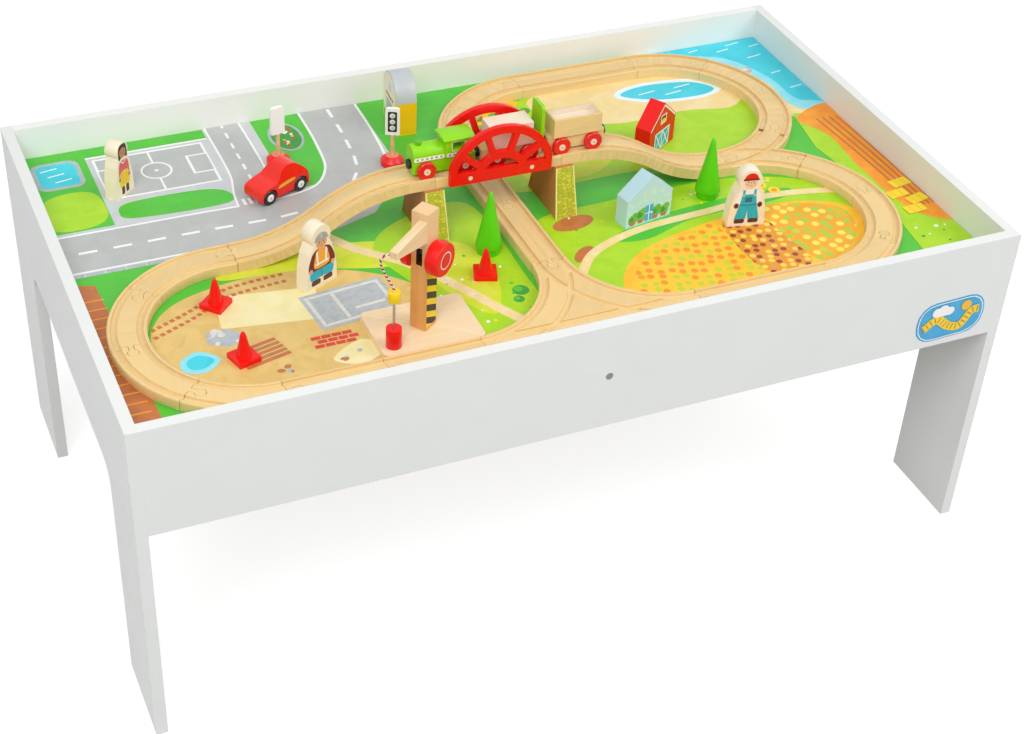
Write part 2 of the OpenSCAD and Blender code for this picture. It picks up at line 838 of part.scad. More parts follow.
module ramp() {
    difference() {
        upright(track_w) ramp_outline(0, track_t);
        for (s = [-1, 1]) translate([0, s * groove_gauge / 2, 0])
            upright(groove_w) ramp_outline(track_t - groove_d, track_t + cut);
        translate([0, 0, bridge_rise]) socket();
    }
    translate([ramp_l, 0, 0]) peg();
}

module ramp_left() {
    color("burlywood") on_board() translate([bridge_x - deck_l / 2, line_y, 0]) rotate(180) ramp();
}

module ramp_right() {
    color("burlywood") on_board() translate([bridge_x + deck_l / 2, line_y, 0]) ramp();
}

// Bridge

// The four pins' places, each along Y from the outside of a red side
module at_pins() {
    for (sx = [-1, 1], sy = [-1, 1])
        translate([bridge_x + sx * pin_x, line_y + sy * (track_w / 2 + side_t), side_z + pin_z])
            rotate([sy > 0 ? 90 : -90, 0, 0]) children();
}

module bridge_deck() {
    color("burlywood") on_board() {
        difference() {
            translate([bridge_x - deck_l / 2, line_y, bridge_rise]) run(deck_l) track_section();
            at_pins() cylinder(r = pin_r + fastener_gap, h = side_t + pin_depth + fastener_gap);
        }
        for (turn = [0, 180]) translate([bridge_x, line_y, bridge_rise]) rotate(turn)
            translate([deck_l / 2, 0, 0]) peg();
    }
}

// Space inside the big arch, above the bottom band
module side_upper(r_low, r_high) {
    intersection() {
        difference() {
            translate([0, side_c]) circle(r_high);
            if (r_low > 0) translate([0, side_c]) circle(r_low);
        }
        translate([-side_l / 2, side_base]) square([side_l, side_h]);
    }
}

module side_outline() {
    difference() {
        intersection() {
            translate([0, side_c]) circle(side_r);
            translate([-side_l / 2, 0]) square([side_l, side_h]);
        }
        difference() {
            side_upper(window_low_r, window_high_r);
            for (i = [1 : spokes]) translate([0, side_c]) rotate(i * 180 / (spokes + 1) - 90)
                translate([-spoke_w / 2, 0]) square([spoke_w, side_r]);
        }
        side_upper(0, inner_arch_r - inner_arch_band);
    }
}

module bridge_side(side) {
    color("red") on_board() difference() {
        translate([bridge_x, line_y + side * (track_w + side_t) / 2, side_z]) upright(side_t) side_outline();
        at_pins() translate([0, 0, -cut]) cylinder(r = pin_r + fastener_gap, h = side_t + 2 * cut);
    }
}

module bridge_side_front() { bridge_side(-1); }
module bridge_side_back() { bridge_side(1); }

module bridge_pins() {
    color("white") on_board() at_pins() cylinder(r = pin_r, h = side_t + pin_depth);
}

module pier_outline(top_w, foot_w) {
    polygon([
        [-foot_w / 2, 0], [foot_w / 2, 0], [top_w / 2, bridge_rise], [-top_w / 2, bridge_rise]
    ]);
}

module bridge_piers() {
    color("tan") on_board() for (s = [-1, 1]) translate([bridge_x + s * (deck_l / 2 + pier_out), line_y, 0])
        intersection() {
            upright(pier_foot_d) pier_outline(pier_top_w, pier_foot_w);
            rotate(90) upright(pier_foot_w) pier_outline(pier_top_d, pier_foot_d);
        }
}

// Train

// Wheel pair and axle in one turned piece, its axis along Y
module wheelset(r, t, gauge, bevel) {
    outer = gauge / 2 + t / 2;
    inner = gauge / 2 - t / 2;
    half = [
        [hub_r, outer + hub_t], [hub_r, outer], [r - bevel, outer], [r, outer - bevel], [r, inner + bevel],
        [r - bevel, inner], [axle_r, inner]
    ];
    rotate([90, 0, 0]) rotate_extrude() polygon(concat(
        [[0, outer + hub_t]], half, [for (i = [len(half) - 1 : -1 : 0]) [half[i][0], -half[i][1]]],
        [[0, -outer - hub_t]]));
}

module train_wheels(x) {
    color("red") on_board() translate([x, line_y, train_axle_z])
        wheelset(wheel_r, wheel_t, groove_gauge, wheel_bevel);
}

// Chassis with two axle bores, its middle at x
module chassis(x, l, base) {
    on_board() translate([x, line_y, 0]) difference() {
        translate([0, 0, chassis_z]) bevelled_block(l, chassis_w, chassis_h, chassis_bevel);
        for (s = [-1, 1]) translate([s * base / 2, 0, train_axle_z]) rotate([90, 0, 0])
            cylinder(r = axle_r + axle_gap, h = chassis_w + 2 * cut, center = true);
    }
}

module magnets(x, l) {
    color("black") on_board() for (s = [-1, 1])
        translate([x + s * l / 2, line_y, magnet_z]) rotate([0, s * 90, 0])
            cylinder(r = magnet_r, h = magnet_reach);
}

module loco_chassis() { color("yellowgreen") chassis(loco_x, loco_l, loco_base); }

module boiler_outline() {
    translate([-boiler_r, 0]) square([boiler_w, boiler_side_h]);
    intersection() {
        translate([0, boiler_side_h]) circle(boiler_r);
        translate([-boiler_r, 0]) square([boiler_w, boiler_side_h + boiler_r]);
    }
}

module at_chimney() {
    translate([loco_x - loco_l / 2 + chimney_inset, line_y, deck_z + boiler_side_h + boiler_r]) children();
}

module loco_boiler() {
    color("yellowgreen") on_board() difference() {
        translate([loco_x - loco_l / 2, line_y, deck_z]) run(boiler_l) boiler_outline();
        at_chimney() translate([0, 0, -chimney_r])
            cylinder(r = chimney_r + fastener_gap, h = chimney_r + cut);
    }
}

module loco_chimney() {
    color("darkgreen") on_board() at_chimney() translate([0, 0, -chimney_r])
        cylinder(r = chimney_r, h = chimney_r + chimney_h);
}

module loco_cab() {
    color("yellowgreen") on_board() translate([cab_x, line_y, deck_z]) difference() {
        translate([0, -cab_w / 2, 0]) cube([cab_l, cab_w, cab_h]);
        translate([(cab_l - window_w) / 2, -cab_w / 2 - cut, sill_h])
            cube([window_w, cab_w + 2 * cut, window_h]);
    }
}

module loco_roof() {
    color("yellowgreen") on_board() translate([cab_x + (cab_l - roof_l) / 2, line_y, deck_z + cab_h])
        run(roof_l) intersection() {
            translate([-roof_w / 2, 0]) square([roof_w, roof_t]);
            translate([0, roof_t - roof_arc_r]) circle(roof_arc_r, $fn = 180);
        }
}

module loco_magnets() { magnets(loco_x, loco_l); }
module loco_wheels_front() { train_wheels(loco_x - loco_base / 2); }
module loco_wheels_rear() { train_wheels(loco_x + loco_base / 2); }

// Bed with a solid block on its free part, ahead of the end board
module truck_bed() {
    color("burlywood") {
        chassis(truck_x, truck_l, wagon_base);
        on_board() translate([truck_x - end_board_t / 2, line_y, deck_z])
            translate([-truck_block_l / 2, -truck_block_w / 2, 0])
                cube([truck_block_l, truck_block_w, truck_block_h]);
    }
}

module truck_end_board() {
    color("limegreen") on_board() translate([truck_x + (truck_l - end_board_t) / 2, line_y, deck_z])
        rotate(90) upright(end_board_t) round_top(end_board_w, end_board_h, end_board_r);
}

module truck_magnets() { magnets(truck_x, truck_l); }
module truck_wheels_front() { train_wheels(truck_x - wagon_base / 2); }
module truck_wheels_rear() { train_wheels(truck_x + wagon_base / 2); }

module wagon_chassis() { color("burlywood") chassis(wagon_x, wagon_l, wagon_base); }

module wagon_box() {
    color("tan") on_board() translate([wagon_x, line_y, deck_z]) difference() {
        translate([-box_l / 2, -box_w / 2, 0]) cube([box_l, box_w, box_h]);
        translate([-box_l / 2 + box_t, -box_w / 2 + box_t, box_floor_t])
            cube([box_l - 2 * box_t, box_w - 2 * box_t, box_h]);
    }
}

module wagon_magnets() { magnets(wagon_x, wagon_l); }
module wagon_wheels_front() { train_wheels(wagon_x - wagon_base / 2); }
module wagon_wheels_rear() { train_wheels(wagon_x + wagon_base / 2); }

// Crane: its own frame has the mast's axis as Z, and the jib points along -X

module at_crane() {
    translate([crane_x, crane_y, board_top]) children();
}

module at_mast() {
    at_crane() rotate(crane_turn) children();
}

module crane_base() {
    color("burlywood") at_crane() difference() {
        bevelled_block(crane_base_l, crane_base_w, crane_base_t, crane_base_t / 2);
        translate([0, 0, crane_base_t - swivel_depth - swivel_gap])
            cylinder(r = swivel_r + axle_gap, h = swivel_depth + swivel_gap + cut);
    }
}

module crane_mast() {
    color("peru") at_mast() difference() {
        union() {
            translate([-mast_s / 2, -mast_s / 2, mast_z]) cube([mast_s, mast_s, mast_top - mast_z]);
            translate([0, 0, crane_base_t - swivel_depth]) cylinder(r = swivel_r, h = swivel_depth + mast_z);
        }
        translate([0, 0, winch_z]) rotate([90, 0, 0])
            cylinder(r = winch_axle_r + axle_gap, h = mast_s + 2 * cut, center = true);
        translate([-mast_s / 2 - cut, -slot_w / 2, winch_z - slot_h / 2])
            cube([mast_s / 2 + cut, slot_w, slot_h]);
    }
}

module crane_jib() {
    tip = -mast_s / 2 - jib_l;
    tip_z = jib_root_z - jib_fall;
    color("burlywood") at_mast() translate([0, (jib_w - mast_s) / 2, 0]) upright(jib_w) polygon([
        [-mast_s / 2, jib_root_z], [tip, tip_z], [tip, tip_z - jib_tip_h],
        [-mast_s / 2, jib_root_z - jib_root_h]
    ]);
}

module winch_axle() {
    color("dimgray") at_mast() translate([0, mast_s / 2 + knob_gap + far_knob_t, winch_z]) rotate([90, 0, 0])
        cylinder(r = winch_axle_r, h = mast_s + 2 * knob_gap + far_knob_t + knob_t);
}

// Knob along -Y from the mast's face, bored for the axle
module knob(t) {
    rotate([90, 0, 0]) rotate_extrude() polygon([
        [winch_axle_r, 0], [knob_r - knob_bevel, 0], [knob_r, knob_bevel], [knob_r, t - knob_bevel],
        [knob_r - knob_bevel, t], [winch_axle_r, t]
    ]);
}

module winch_knobs() {
    color("red") at_mast() translate([0, 0, winch_z]) {
        translate([0, -mast_s / 2 - knob_gap, 0]) knob(knob_t);
        rotate(180) translate([0, -mast_s / 2 - knob_gap, 0]) knob(far_knob_t);
    }
}

// Directions of the string at its points, and rings of points square to them
function string_heading(i) =
    let (a = string_route[max(i - 1, 0)], b = string_route[min(i + 1, len(string_route) - 1)])
    (b - a) / norm(b - a);
function string_ring(i) =
    let (d = string_heading(i), side = cross([0, 1, 0], d), n = side / norm(side), m = cross(d, n))
    [for (k = [0 : string_sides - 1])
        let (a = 360 * k / string_sides) string_route[i] + string_d / 2 * (cos(a) * n + sin(a) * m)];

module hoist_string() {
    count = len(string_route);
    rings = [for (i = [0 : count - 1]) each string_ring(i)];
    start = [for (k = [0 : string_sides - 1]) k];
    end = [for (k = [string_sides - 1 : -1 : 0]) (count - 1) * string_sides + k];
    walls = [for (i = [0 : count - 2], k = [0 : string_sides - 1])
        let (a = i * string_sides + k, b = i * string_sides + (k + 1) % string_sides)
        each [[a, b + string_sides, b], [a, a + string_sides, b + string_sides]]];
    color("mistyrose") at_mast()
        polyhedron(points = rings, faces = concat([start, end], walls), convexity = 4);
}

module at_load() {
    at_mast() translate(load_spot) children();
}

module hoist_toggle() {
    color("gold") at_load() difference() {
        translate([0, 0, toggle_z]) cylinder(r = toggle_r, h = toggle_h);
        translate([0, 0, toggle_z + toggle_h - toggle_hole - swivel_gap])
            cylinder(r = string_d / 2 + swivel_gap, h = toggle_hole + swivel_gap + cut);
    }
}

module crane_load() {
    color("red") at_load() difference() {
        translate([0, 0, load_z]) cylinder(r = load_r, h = load_h);
        translate([0, 0, load_z + load_h - load_pin_depth])
            cylinder(r = load_pin_r, h = load_pin_depth + cut);
    }
}

module load_pin() {
    color("silver") at_load() translate([0, 0, load_z + load_h - load_pin_depth])
        cylinder(r = load_pin_r, h = load_pin_depth + load_pin_l);
}

// Car: its own frame stands on the playboard with its bonnet towards -X

module at_car() {
    translate(spot(car_share)) rotate(car_heading) children();
}

module car_side_outline() {
    body_h = car_h - car_floor;
    polygon(smooth([for (s = car_side_shares) [s[0] * car_l, car_floor + s[1] * body_h]], car_curve_steps));
}

module car_front_outline() {
    shoulder = car_floor + car_shoulder_share * (car_h - car_floor);
    polygon([
        [-car_w / 2, 0], [car_w / 2, 0], [car_w / 2, shoulder], [car_roof_w_share * car_w / 2, car_h],
        [-car_roof_w_share * car_w / 2, car_h], [-car_w / 2, shoulder]
    ]);
}

car_axle_z = car_wheel_r + wheel_gap;
car_gauge = car_w - car_wheel_t;

module car_body() {
    arch_depth = car_wheel_t + car_arch_gap;
    color("red") at_car() difference() {
        intersection() {
            upright(car_w) car_side_outline();
            translate([-car_l / 2, 0, 0]) run(car_l) car_front_outline();
        }
        for (s = [-1, 1]) translate([s * car_base / 2, 0, car_axle_z]) rotate([90, 0, 0]) {
            cylinder(r = axle_r + axle_gap, h = car_w + 2 * cut, center = true);
            for (e = [-1, 1]) translate([0, 0, e * (car_w + cut - arch_depth) / 2])
                cylinder(r = car_wheel_r + car_arch_gap, h = arch_depth + cut, center = true);
        }
    }
}

module car_wheels(side) {
    color("black") at_car() translate([side * car_base / 2, 0, car_axle_z])
        wheelset(car_wheel_r, car_wheel_t, car_gauge, wheel_bevel);
}

module car_wheels_front() { car_wheels(-1); }
module car_wheels_rear() { car_wheels(1); }

// Scenery

module cone(turn) {
    rotate(turn) translate([-cone_base / 2, -cone_base / 2, 0]) cube([cone_base, cone_base, cone_base_t]);
    rotate_extrude() polygon([
        [0, cone_base_t / 2], [cone_r, cone_base_t / 2], [cone_r, cone_base_t],
        [cone_tip_r, cone_h - cone_tip_r], [cone_tip_r / 2, cone_h], [0, cone_h]
    ]);
}

module cones() {
    color("red") {
        for (i = [0 : len(left_cone_shares) - 1])
            translate(left_spot(left_cone_shares[i])) cone(left_cone_turns[i]);
        translate(spot(cross_cone_share)) cone(cross_cone_turn);
    }
}

module tree() {
    rotate_extrude() polygon([
        [0, 0], [tree_r - tree_foot_in, 0], [tree_r - tree_foot_in, tree_foot_h], [tree_r, tree_foot_h],
        [tree_tip_r, tree_h - tree_tip_r], [0, tree_h]
    ]);
}

module trees() {
    color("limegreen") {
        translate(spot(cross_tree_share)) tree();
        translate(right_spot(right_tree_share)) tree();
    }
}

module house_outline(w, wall_h, top) {
    polygon([[-w / 2, 0], [w / 2, 0], [w / 2, wall_h], [0, top], [-w / 2, wall_h]]);
}

module blue_house() {
    color("lightblue") translate(right_spot(blue_share)) rotate(blue_turn) upright(blue_d)
        house_outline(blue_w, blue_wall_h, blue_top);
}

module red_house() {
    color("red") translate(right_spot(red_share)) rotate(red_turn) upright(red_d)
        house_outline(red_w, red_wall_h, red_top);
}

// Round-roofed block, its printed face towards -X
module depot() {
    color("gold") translate(spot(depot_share)) rotate(depot_turn + 90) upright(depot_d) {
        translate([-depot_w / 2, 0]) square([depot_w, depot_wall_h]);
        translate([0, depot_wall_h]) intersection() {
            circle(depot_w / 2);
            translate([-depot_w / 2, -cut]) square([depot_w, depot_w]);
        }
    }
}

// Turned base with a post that carries a plate
module sign() {
    dome_share = 0.55;
    difference() {
        rotate_extrude() polygon([
            [0, 0], [sign_base_r, 0], [sign_base_r, sign_base_h * dome_share],
            [sign_base_r * dome_share, sign_base_h], [0, sign_base_h]
        ]);
        translate([0, 0, sign_base_h / 2]) cylinder(r = sign_post_r + fastener_gap, h = sign_base_h);
    }
    translate([0, 0, sign_base_h / 2]) cylinder(r = sign_post_r, h = plate_z - sign_base_h / 2);
    translate([0, 0, plate_z]) upright(plate_t) round_top(plate_w, plate_h, plate_r);
}

module signs() {
    color("white") for (i = [0 : len(sign_shares) - 1])
        translate(spot(sign_shares[i])) rotate(sign_turns[i]) sign();
}

// Flat standing figure: a foot, a body that narrows to the neck, and a round head
module figure(w, h) {
    head = figure_head_share * w;
    body = [
        [w / 2, 0], [w / 2, figure_foot_share * h], [figure_hip_shares[0] * w, figure_hip_shares[1] * h],
        [figure_shoulder_shares[0] * w, figure_shoulder_shares[1] * h],
        [figure_neck_shares[0] * w, figure_neck_shares[1] * h]
    ];
    upright(figure_t) {
        polygon(concat(body, [for (i = [len(body) - 1 : -1 : 0]) [-body[i][0], body[i][1]]]));
        translate([0, h - head]) circle(head);
    }
}

module figures() {
    color("wheat") {
        translate(left_spot(builder_share)) rotate(figure_turns[0]) figure(builder_w, builder_h);
        translate(right_spot(farmer_share)) rotate(figure_turns[1]) figure(farmer_w, farmer_h);
        translate(left_spot(walker_share)) rotate(figure_turns[2]) figure(walker_w, walker_h);
    }
}

end_panel_left();
end_panel_right();
front_apron();
back_apron();
playboard();
centre_rail();
cleats();
panel_bolts();
barrel_nuts();
rail_screws();
left_curves();
right_curves();
back_curves();
straights();
front_wye();
right_wye();
ramp_left();
ramp_right();
bridge_deck();
bridge_side_front();
bridge_side_back();
bridge_pins();
bridge_piers();
loco_chassis();
loco_boiler();
loco_cab();
loco_roof();
loco_chimney();
loco_magnets();
loco_wheels_front();
loco_wheels_rear();
truck_bed();
truck_end_board();
truck_magnets();
truck_wheels_front();
truck_wheels_rear();
wagon_chassis();
wagon_box();
wagon_magnets();
wagon_wheels_front();
wagon_wheels_rear();
crane_base();
crane_mast();
crane_jib();
winch_axle();
winch_knobs();
hoist_string();
hoist_toggle();
crane_load();
load_pin();
car_body();
car_wheels_front();
car_wheels_rear();
cones();
trees();
blue_house();
red_house();
depot();
signs();
figures();
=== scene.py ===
"""Dresses the train table: finishes for the solids, the hoist string, and prints on boards and toys."""
import json
import math
import random

import bpy
from mathutils import Matrix, Quaternion, Vector


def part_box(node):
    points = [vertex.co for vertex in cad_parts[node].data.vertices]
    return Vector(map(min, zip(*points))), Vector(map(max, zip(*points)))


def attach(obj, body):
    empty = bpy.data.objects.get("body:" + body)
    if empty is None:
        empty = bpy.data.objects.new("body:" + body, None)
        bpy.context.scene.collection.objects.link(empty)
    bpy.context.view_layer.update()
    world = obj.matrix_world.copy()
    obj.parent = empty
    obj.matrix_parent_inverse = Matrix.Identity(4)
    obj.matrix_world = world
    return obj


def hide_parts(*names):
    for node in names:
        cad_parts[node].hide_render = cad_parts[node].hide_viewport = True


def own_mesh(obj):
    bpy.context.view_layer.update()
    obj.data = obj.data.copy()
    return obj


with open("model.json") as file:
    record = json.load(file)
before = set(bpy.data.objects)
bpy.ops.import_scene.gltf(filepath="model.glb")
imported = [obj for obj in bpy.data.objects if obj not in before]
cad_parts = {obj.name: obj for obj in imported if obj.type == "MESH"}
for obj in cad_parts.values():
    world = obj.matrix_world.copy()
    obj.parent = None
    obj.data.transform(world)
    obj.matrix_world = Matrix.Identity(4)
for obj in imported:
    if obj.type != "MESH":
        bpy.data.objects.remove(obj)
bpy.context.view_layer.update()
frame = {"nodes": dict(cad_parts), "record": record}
nodes = frame["nodes"]
joints = {joint["name"]: joint for joint in frame["record"]["behaviour"]["joints"]}

MM = 0.001
BOARD_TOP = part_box("playboard")[1][2]
# Step from one layer of a print to the next
HAIR = 0.04 * MM

# Camera and light

EYE = Vector((-0.7127, -1.5506, 1.4649))
AIM = Vector((-0.1008, -0.2675, 0.3655))
CAMERA_ROLL = 3.466
CAMERA_LENS = 63.84
SENSOR_WIDTH = 36
LAMP_TARGET = Vector((0, 0, 0.35))
SKY_LIGHT = 0.5
FLOOR_HALF = 9
FLOOR_TONE = (190, 190, 190)
FLOOR_GLOW = 0.72
WHITE = (1, 1, 1, 1)


def put(name, data):
    """A new object in the scene."""
    made = bpy.data.objects.new(name, data)
    bpy.context.scene.collection.objects.link(made)
    return made


def set_camera():
    """The camera of the photograph, fitted to the table's corners."""
    camera = put("photo_camera", bpy.data.cameras.new("photo_camera"))
    camera.data.lens = CAMERA_LENS
    camera.data.sensor_width = SENSOR_WIDTH
    camera.data.sensor_fit = "HORIZONTAL"
    aim = (AIM - EYE).to_track_quat("-Z", "Y")
    roll = Quaternion((0, 0, 1), math.radians(CAMERA_ROLL))
    camera.matrix_world = Matrix.LocRotScale(EYE, aim @ roll, None)
    bpy.context.scene.camera = camera


def add_lamp(name, place, size, power):
    """A round soft lamp that looks at the middle of the table."""
    lamp = put(name, bpy.data.lights.new(name, "AREA"))
    lamp.data.shape = "DISK"
    lamp.data.size = size
    lamp.data.energy = power
    turn = (LAMP_TARGET - Vector(place)).to_track_quat("-Z", "Y")
    lamp.matrix_world = Matrix.LocRotScale(Vector(place), turn, None)


# Node helpers

def srgb(red, green, blue):
    """A colour as the eye sees it, from 0 to 255, in the renderer's linear values."""
    parts = [c / 255 for c in (red, green, blue)]
    return tuple(c / 12.92 if c <= 0.04045 else ((c + 0.055) / 1.055) ** 2.4 for c in parts) + (1.0,)


def feed(tree, socket, value):
    """Sets a socket, or links it if the value is another node's output."""
    if isinstance(value, bpy.types.NodeSocket):
        tree.links.new(value, socket)
    else:
        socket.default_value = value


def add(tree, kind, inputs=None, **settings):
    """A new node with its settings made and its inputs fed."""
    made = tree.nodes.new(kind)
    for name, value in settings.items():
        setattr(made, name, value)
    for name, value in (inputs or {}).items():
        feed(tree, made.inputs[name], value)
    return made


def maths(tree, operation, *values, clamp=False):
    made = add(tree, "ShaderNodeMath", operation=operation, use_clamp=clamp)
    for socket, value in zip(made.inputs, values):
        feed(tree, socket, value)
    return made.outputs[0]


def times(tree, first, second):
    return maths(tree, "MULTIPLY", first, second)


def minus(tree, first, second):
    return maths(tree, "SUBTRACT", first, second)


def vector_maths(tree, operation, *values):
    made = add(tree, "ShaderNodeVectorMath", operation=operation)
    for socket, value in zip(made.inputs, values):
        feed(tree, socket, value)
    return made.outputs


def split(tree, vector):
    """The X, Y and Z of a vector."""
    return add(tree, "ShaderNodeSeparateXYZ", {"Vector": vector}).outputs


def stretched(tree, vector, factors):
    return vector_maths(tree, "MULTIPLY", vector, factors)["Vector"]


def mixed(tree, factor, first, second):
    """The first colour, and the second by the factor's share."""
    made = add(tree, "ShaderNodeMix", data_type="RGBA")
    for index, value in ((0, factor), (6, first), (7, second)):
        feed(tree, made.inputs[index], value)
    return made.outputs[2]


def step(tree, value, low, high):
    """0 below low, 1 above high, and smooth between."""
    made = add(tree, "ShaderNodeMapRange", {"Value": value, "From Min": low, "From Max": high},
               interpolation_type="SMOOTHSTEP")
    return made.outputs["Result"]


def noise(tree, vector, scale, detail=2.0, distortion=0.0):
    made = add(tree, "ShaderNodeTexNoise",
               {"Vector": vector, "Scale": scale, "Detail": detail, "Distortion": distortion})
    return made.outputs["Fac"]


def above(tree, height, level, blur):
    """0 under a level on the playboard and 1 over it, with a blurred line between, in millimetres."""
    return step(tree, height, BOARD_TOP + (level - blur) * MM, BOARD_TOP + (level + blur) * MM)


def inside(tree, vector, low, high):
    """1 for the points inside an upright box, and 0 outside it."""
    parts = split(tree, vector)
    mask = 1.0
    for axis, least, most in zip("XYZ", low, high):
        above = maths(tree, "GREATER_THAN", parts[axis], least)
        below = maths(tree, "LESS_THAN", parts[axis], most)
        mask = times(tree, mask, times(tree, above, below))
    return mask


def effect(name, inputs, outputs):
    """An empty node group with named sockets, its start and its end."""
    tree = bpy.data.node_groups.new(name, "ShaderNodeTree")
    for label, (kind, value) in inputs.items():
        socket = tree.interface.new_socket(label, in_out="INPUT", socket_type=kind)
        if value is not None:
            socket.default_value = value
    for label, kind in outputs.items():
        tree.interface.new_socket(label, in_out="OUTPUT", socket_type=kind)
    return tree, tree.nodes.new("NodeGroupInput").outputs, tree.nodes.new("NodeGroupOutput").inputs


def fill(tree, group, inputs):
    """The outputs of an effect placed in a material."""
    return add(tree, "ShaderNodeGroup", inputs, node_tree=group).outputs


# Effects that several finishes share

def make_wood_grain():
    """Growth bands, fibres and the short dark flecks of beech, along X of the vector, in metres."""
    tree, start, end = effect(
        "Wood grain",
        {"Vector": ("NodeSocketVector", None), "Pale": ("NodeSocketColor", srgb(240, 214, 168)),
         "Dark": ("NodeSocketColor", srgb(214, 170, 112)), "Figure": ("NodeSocketFloat", 0.6)},
        {"Color": "NodeSocketColor", "Height": "NodeSocketFloat"})
    bands = noise(tree, stretched(tree, start["Vector"], (7, 130, 130)), 1.0, 3.0, 0.9)
    fibres = noise(tree, stretched(tree, start["Vector"], (60, 1500, 1500)), 1.0, 2.0)
    flecks = noise(tree, stretched(tree, start["Vector"], (240, 1000, 1000)), 1.0, 1.0)
    flecks = step(tree, flecks, 0.62, 0.72)
    depth = times(tree, step(tree, bands, 0.3, 0.75), start["Figure"])
    depth = maths(tree, "ADD", depth, times(tree, minus(tree, fibres, 0.5), 0.3))
    flecked = times(tree, flecks, start["Figure"])
    depth = maths(tree, "ADD", depth, times(tree, flecked, 0.5), clamp=True)
    feed(tree, end["Color"], mixed(tree, depth, start["Pale"], start["Dark"]))
    feed(tree, end["Height"], minus(tree, fibres, times(tree, flecks, 0.4)))
    return tree


def make_edge_wear():
    """Mask of the outer edges that hands rub, broken up by a coarse noise."""
    tree, start, end = effect(
        "Edge wear", {"Vector": ("NodeSocketVector", None), "Width": ("NodeSocketFloat", 0.001)},
        {"Wear": "NodeSocketFloat"})
    rounded = add(tree, "ShaderNodeBevel", {"Radius": start["Width"]}, samples=4).outputs["Normal"]
    true = add(tree, "ShaderNodeNewGeometry").outputs["Normal"]
    facing = vector_maths(tree, "DOT_PRODUCT", rounded, true)["Value"]
    edge = step(tree, minus(tree, 1.0, facing), 0.03, 0.22)
    patches = step(tree, noise(tree, start["Vector"], 190.0, 3.0), 0.38, 0.62)
    feed(tree, end["Wear"], times(tree, edge, patches))
    return tree


def make_handling():
    """Slow drift of tone, and the smudges that change a finish's gloss."""
    tree, start, end = effect(
        "Handling", {"Vector": ("NodeSocketVector", None)},
        {"Tone": "NodeSocketFloat", "Smudge": "NodeSocketFloat", "Grit": "NodeSocketFloat"})
    feed(tree, end["Tone"], noise(tree, start["Vector"], 22.0, 3.0, 0.4))
    feed(tree, end["Smudge"], step(tree, noise(tree, start["Vector"], 60.0, 4.0, 1.2), 0.35, 0.75))
    feed(tree, end["Grit"], noise(tree, start["Vector"], 2600.0, 2.0))
    return tree


WOOD_GRAIN = make_wood_grain()
EDGE_WEAR = make_edge_wear()
HANDLING = make_handling()

# Finishes

UNDER_PAINT = (238, 205, 150)
PRINT_SPECK = (252, 250, 244)


def new_finish(name):
    """An empty material: its tree, its shader and the object's own coordinates."""
    finish = bpy.data.materials.new(name)
    finish.use_nodes = True
    tree = finish.node_tree
    shader = tree.nodes["Principled BSDF"]
    place = add(tree, "ShaderNodeTexCoord").outputs["Object"]
    return finish, tree, shader, place


def paint(tree, shader, colour):
    feed(tree, shader.inputs["Base Color"], colour)


def roughen(tree, shader, smudge, low, high):
    made = add(tree, "ShaderNodeMapRange", {"Value": smudge, "To Min": low, "To Max": high})
    feed(tree, shader.inputs["Roughness"], made.outputs["Result"])


def bump(tree, shader, height, depth, strength):
    made = add(tree, "ShaderNodeBump", {"Height": height, "Distance": depth, "Strength": strength})
    feed(tree, shader.inputs["Normal"], made.outputs["Normal"])


def varied(tree, tone, colour, spread):
    """A colour that drifts lighter and darker by the given share."""
    level = add(tree, "ShaderNodeMapRange", {"Value": tone, "From Min": 0.25, "From Max": 0.75,
                                             "To Min": 1 - spread, "To Max": 1 + spread}).outputs["Result"]
    made = add(tree, "ShaderNodeVectorMath", operation="SCALE")
    feed(tree, made.inputs[0], colour[:3] if isinstance(colour, tuple) else colour)
    feed(tree, made.inputs["Scale"], level)
    return made.outputs[0]


def white_board(name, colour):
    """Melamine-faced board: a fine pebbled skin, a little grey where edges are rubbed."""
    finish, tree, shader, place = new_finish(name)
    handling = fill(tree, HANDLING, {"Vector": place})
    worn = fill(tree, EDGE_WEAR, {"Vector": place, "Width": 1.2 * MM})
    skin = noise(tree, place, 900.0, 3.0)
    colour = varied(tree, handling["Tone"], srgb(*colour), 0.012)
    paint(tree, shader, mixed(tree, times(tree, worn["Wear"], 0.35), colour, srgb(205, 203, 198)))
    roughen(tree, shader, handling["Smudge"], 0.42, 0.52)
    bump(tree, shader, skin, 0.05 * MM, 0.25)
    return finish


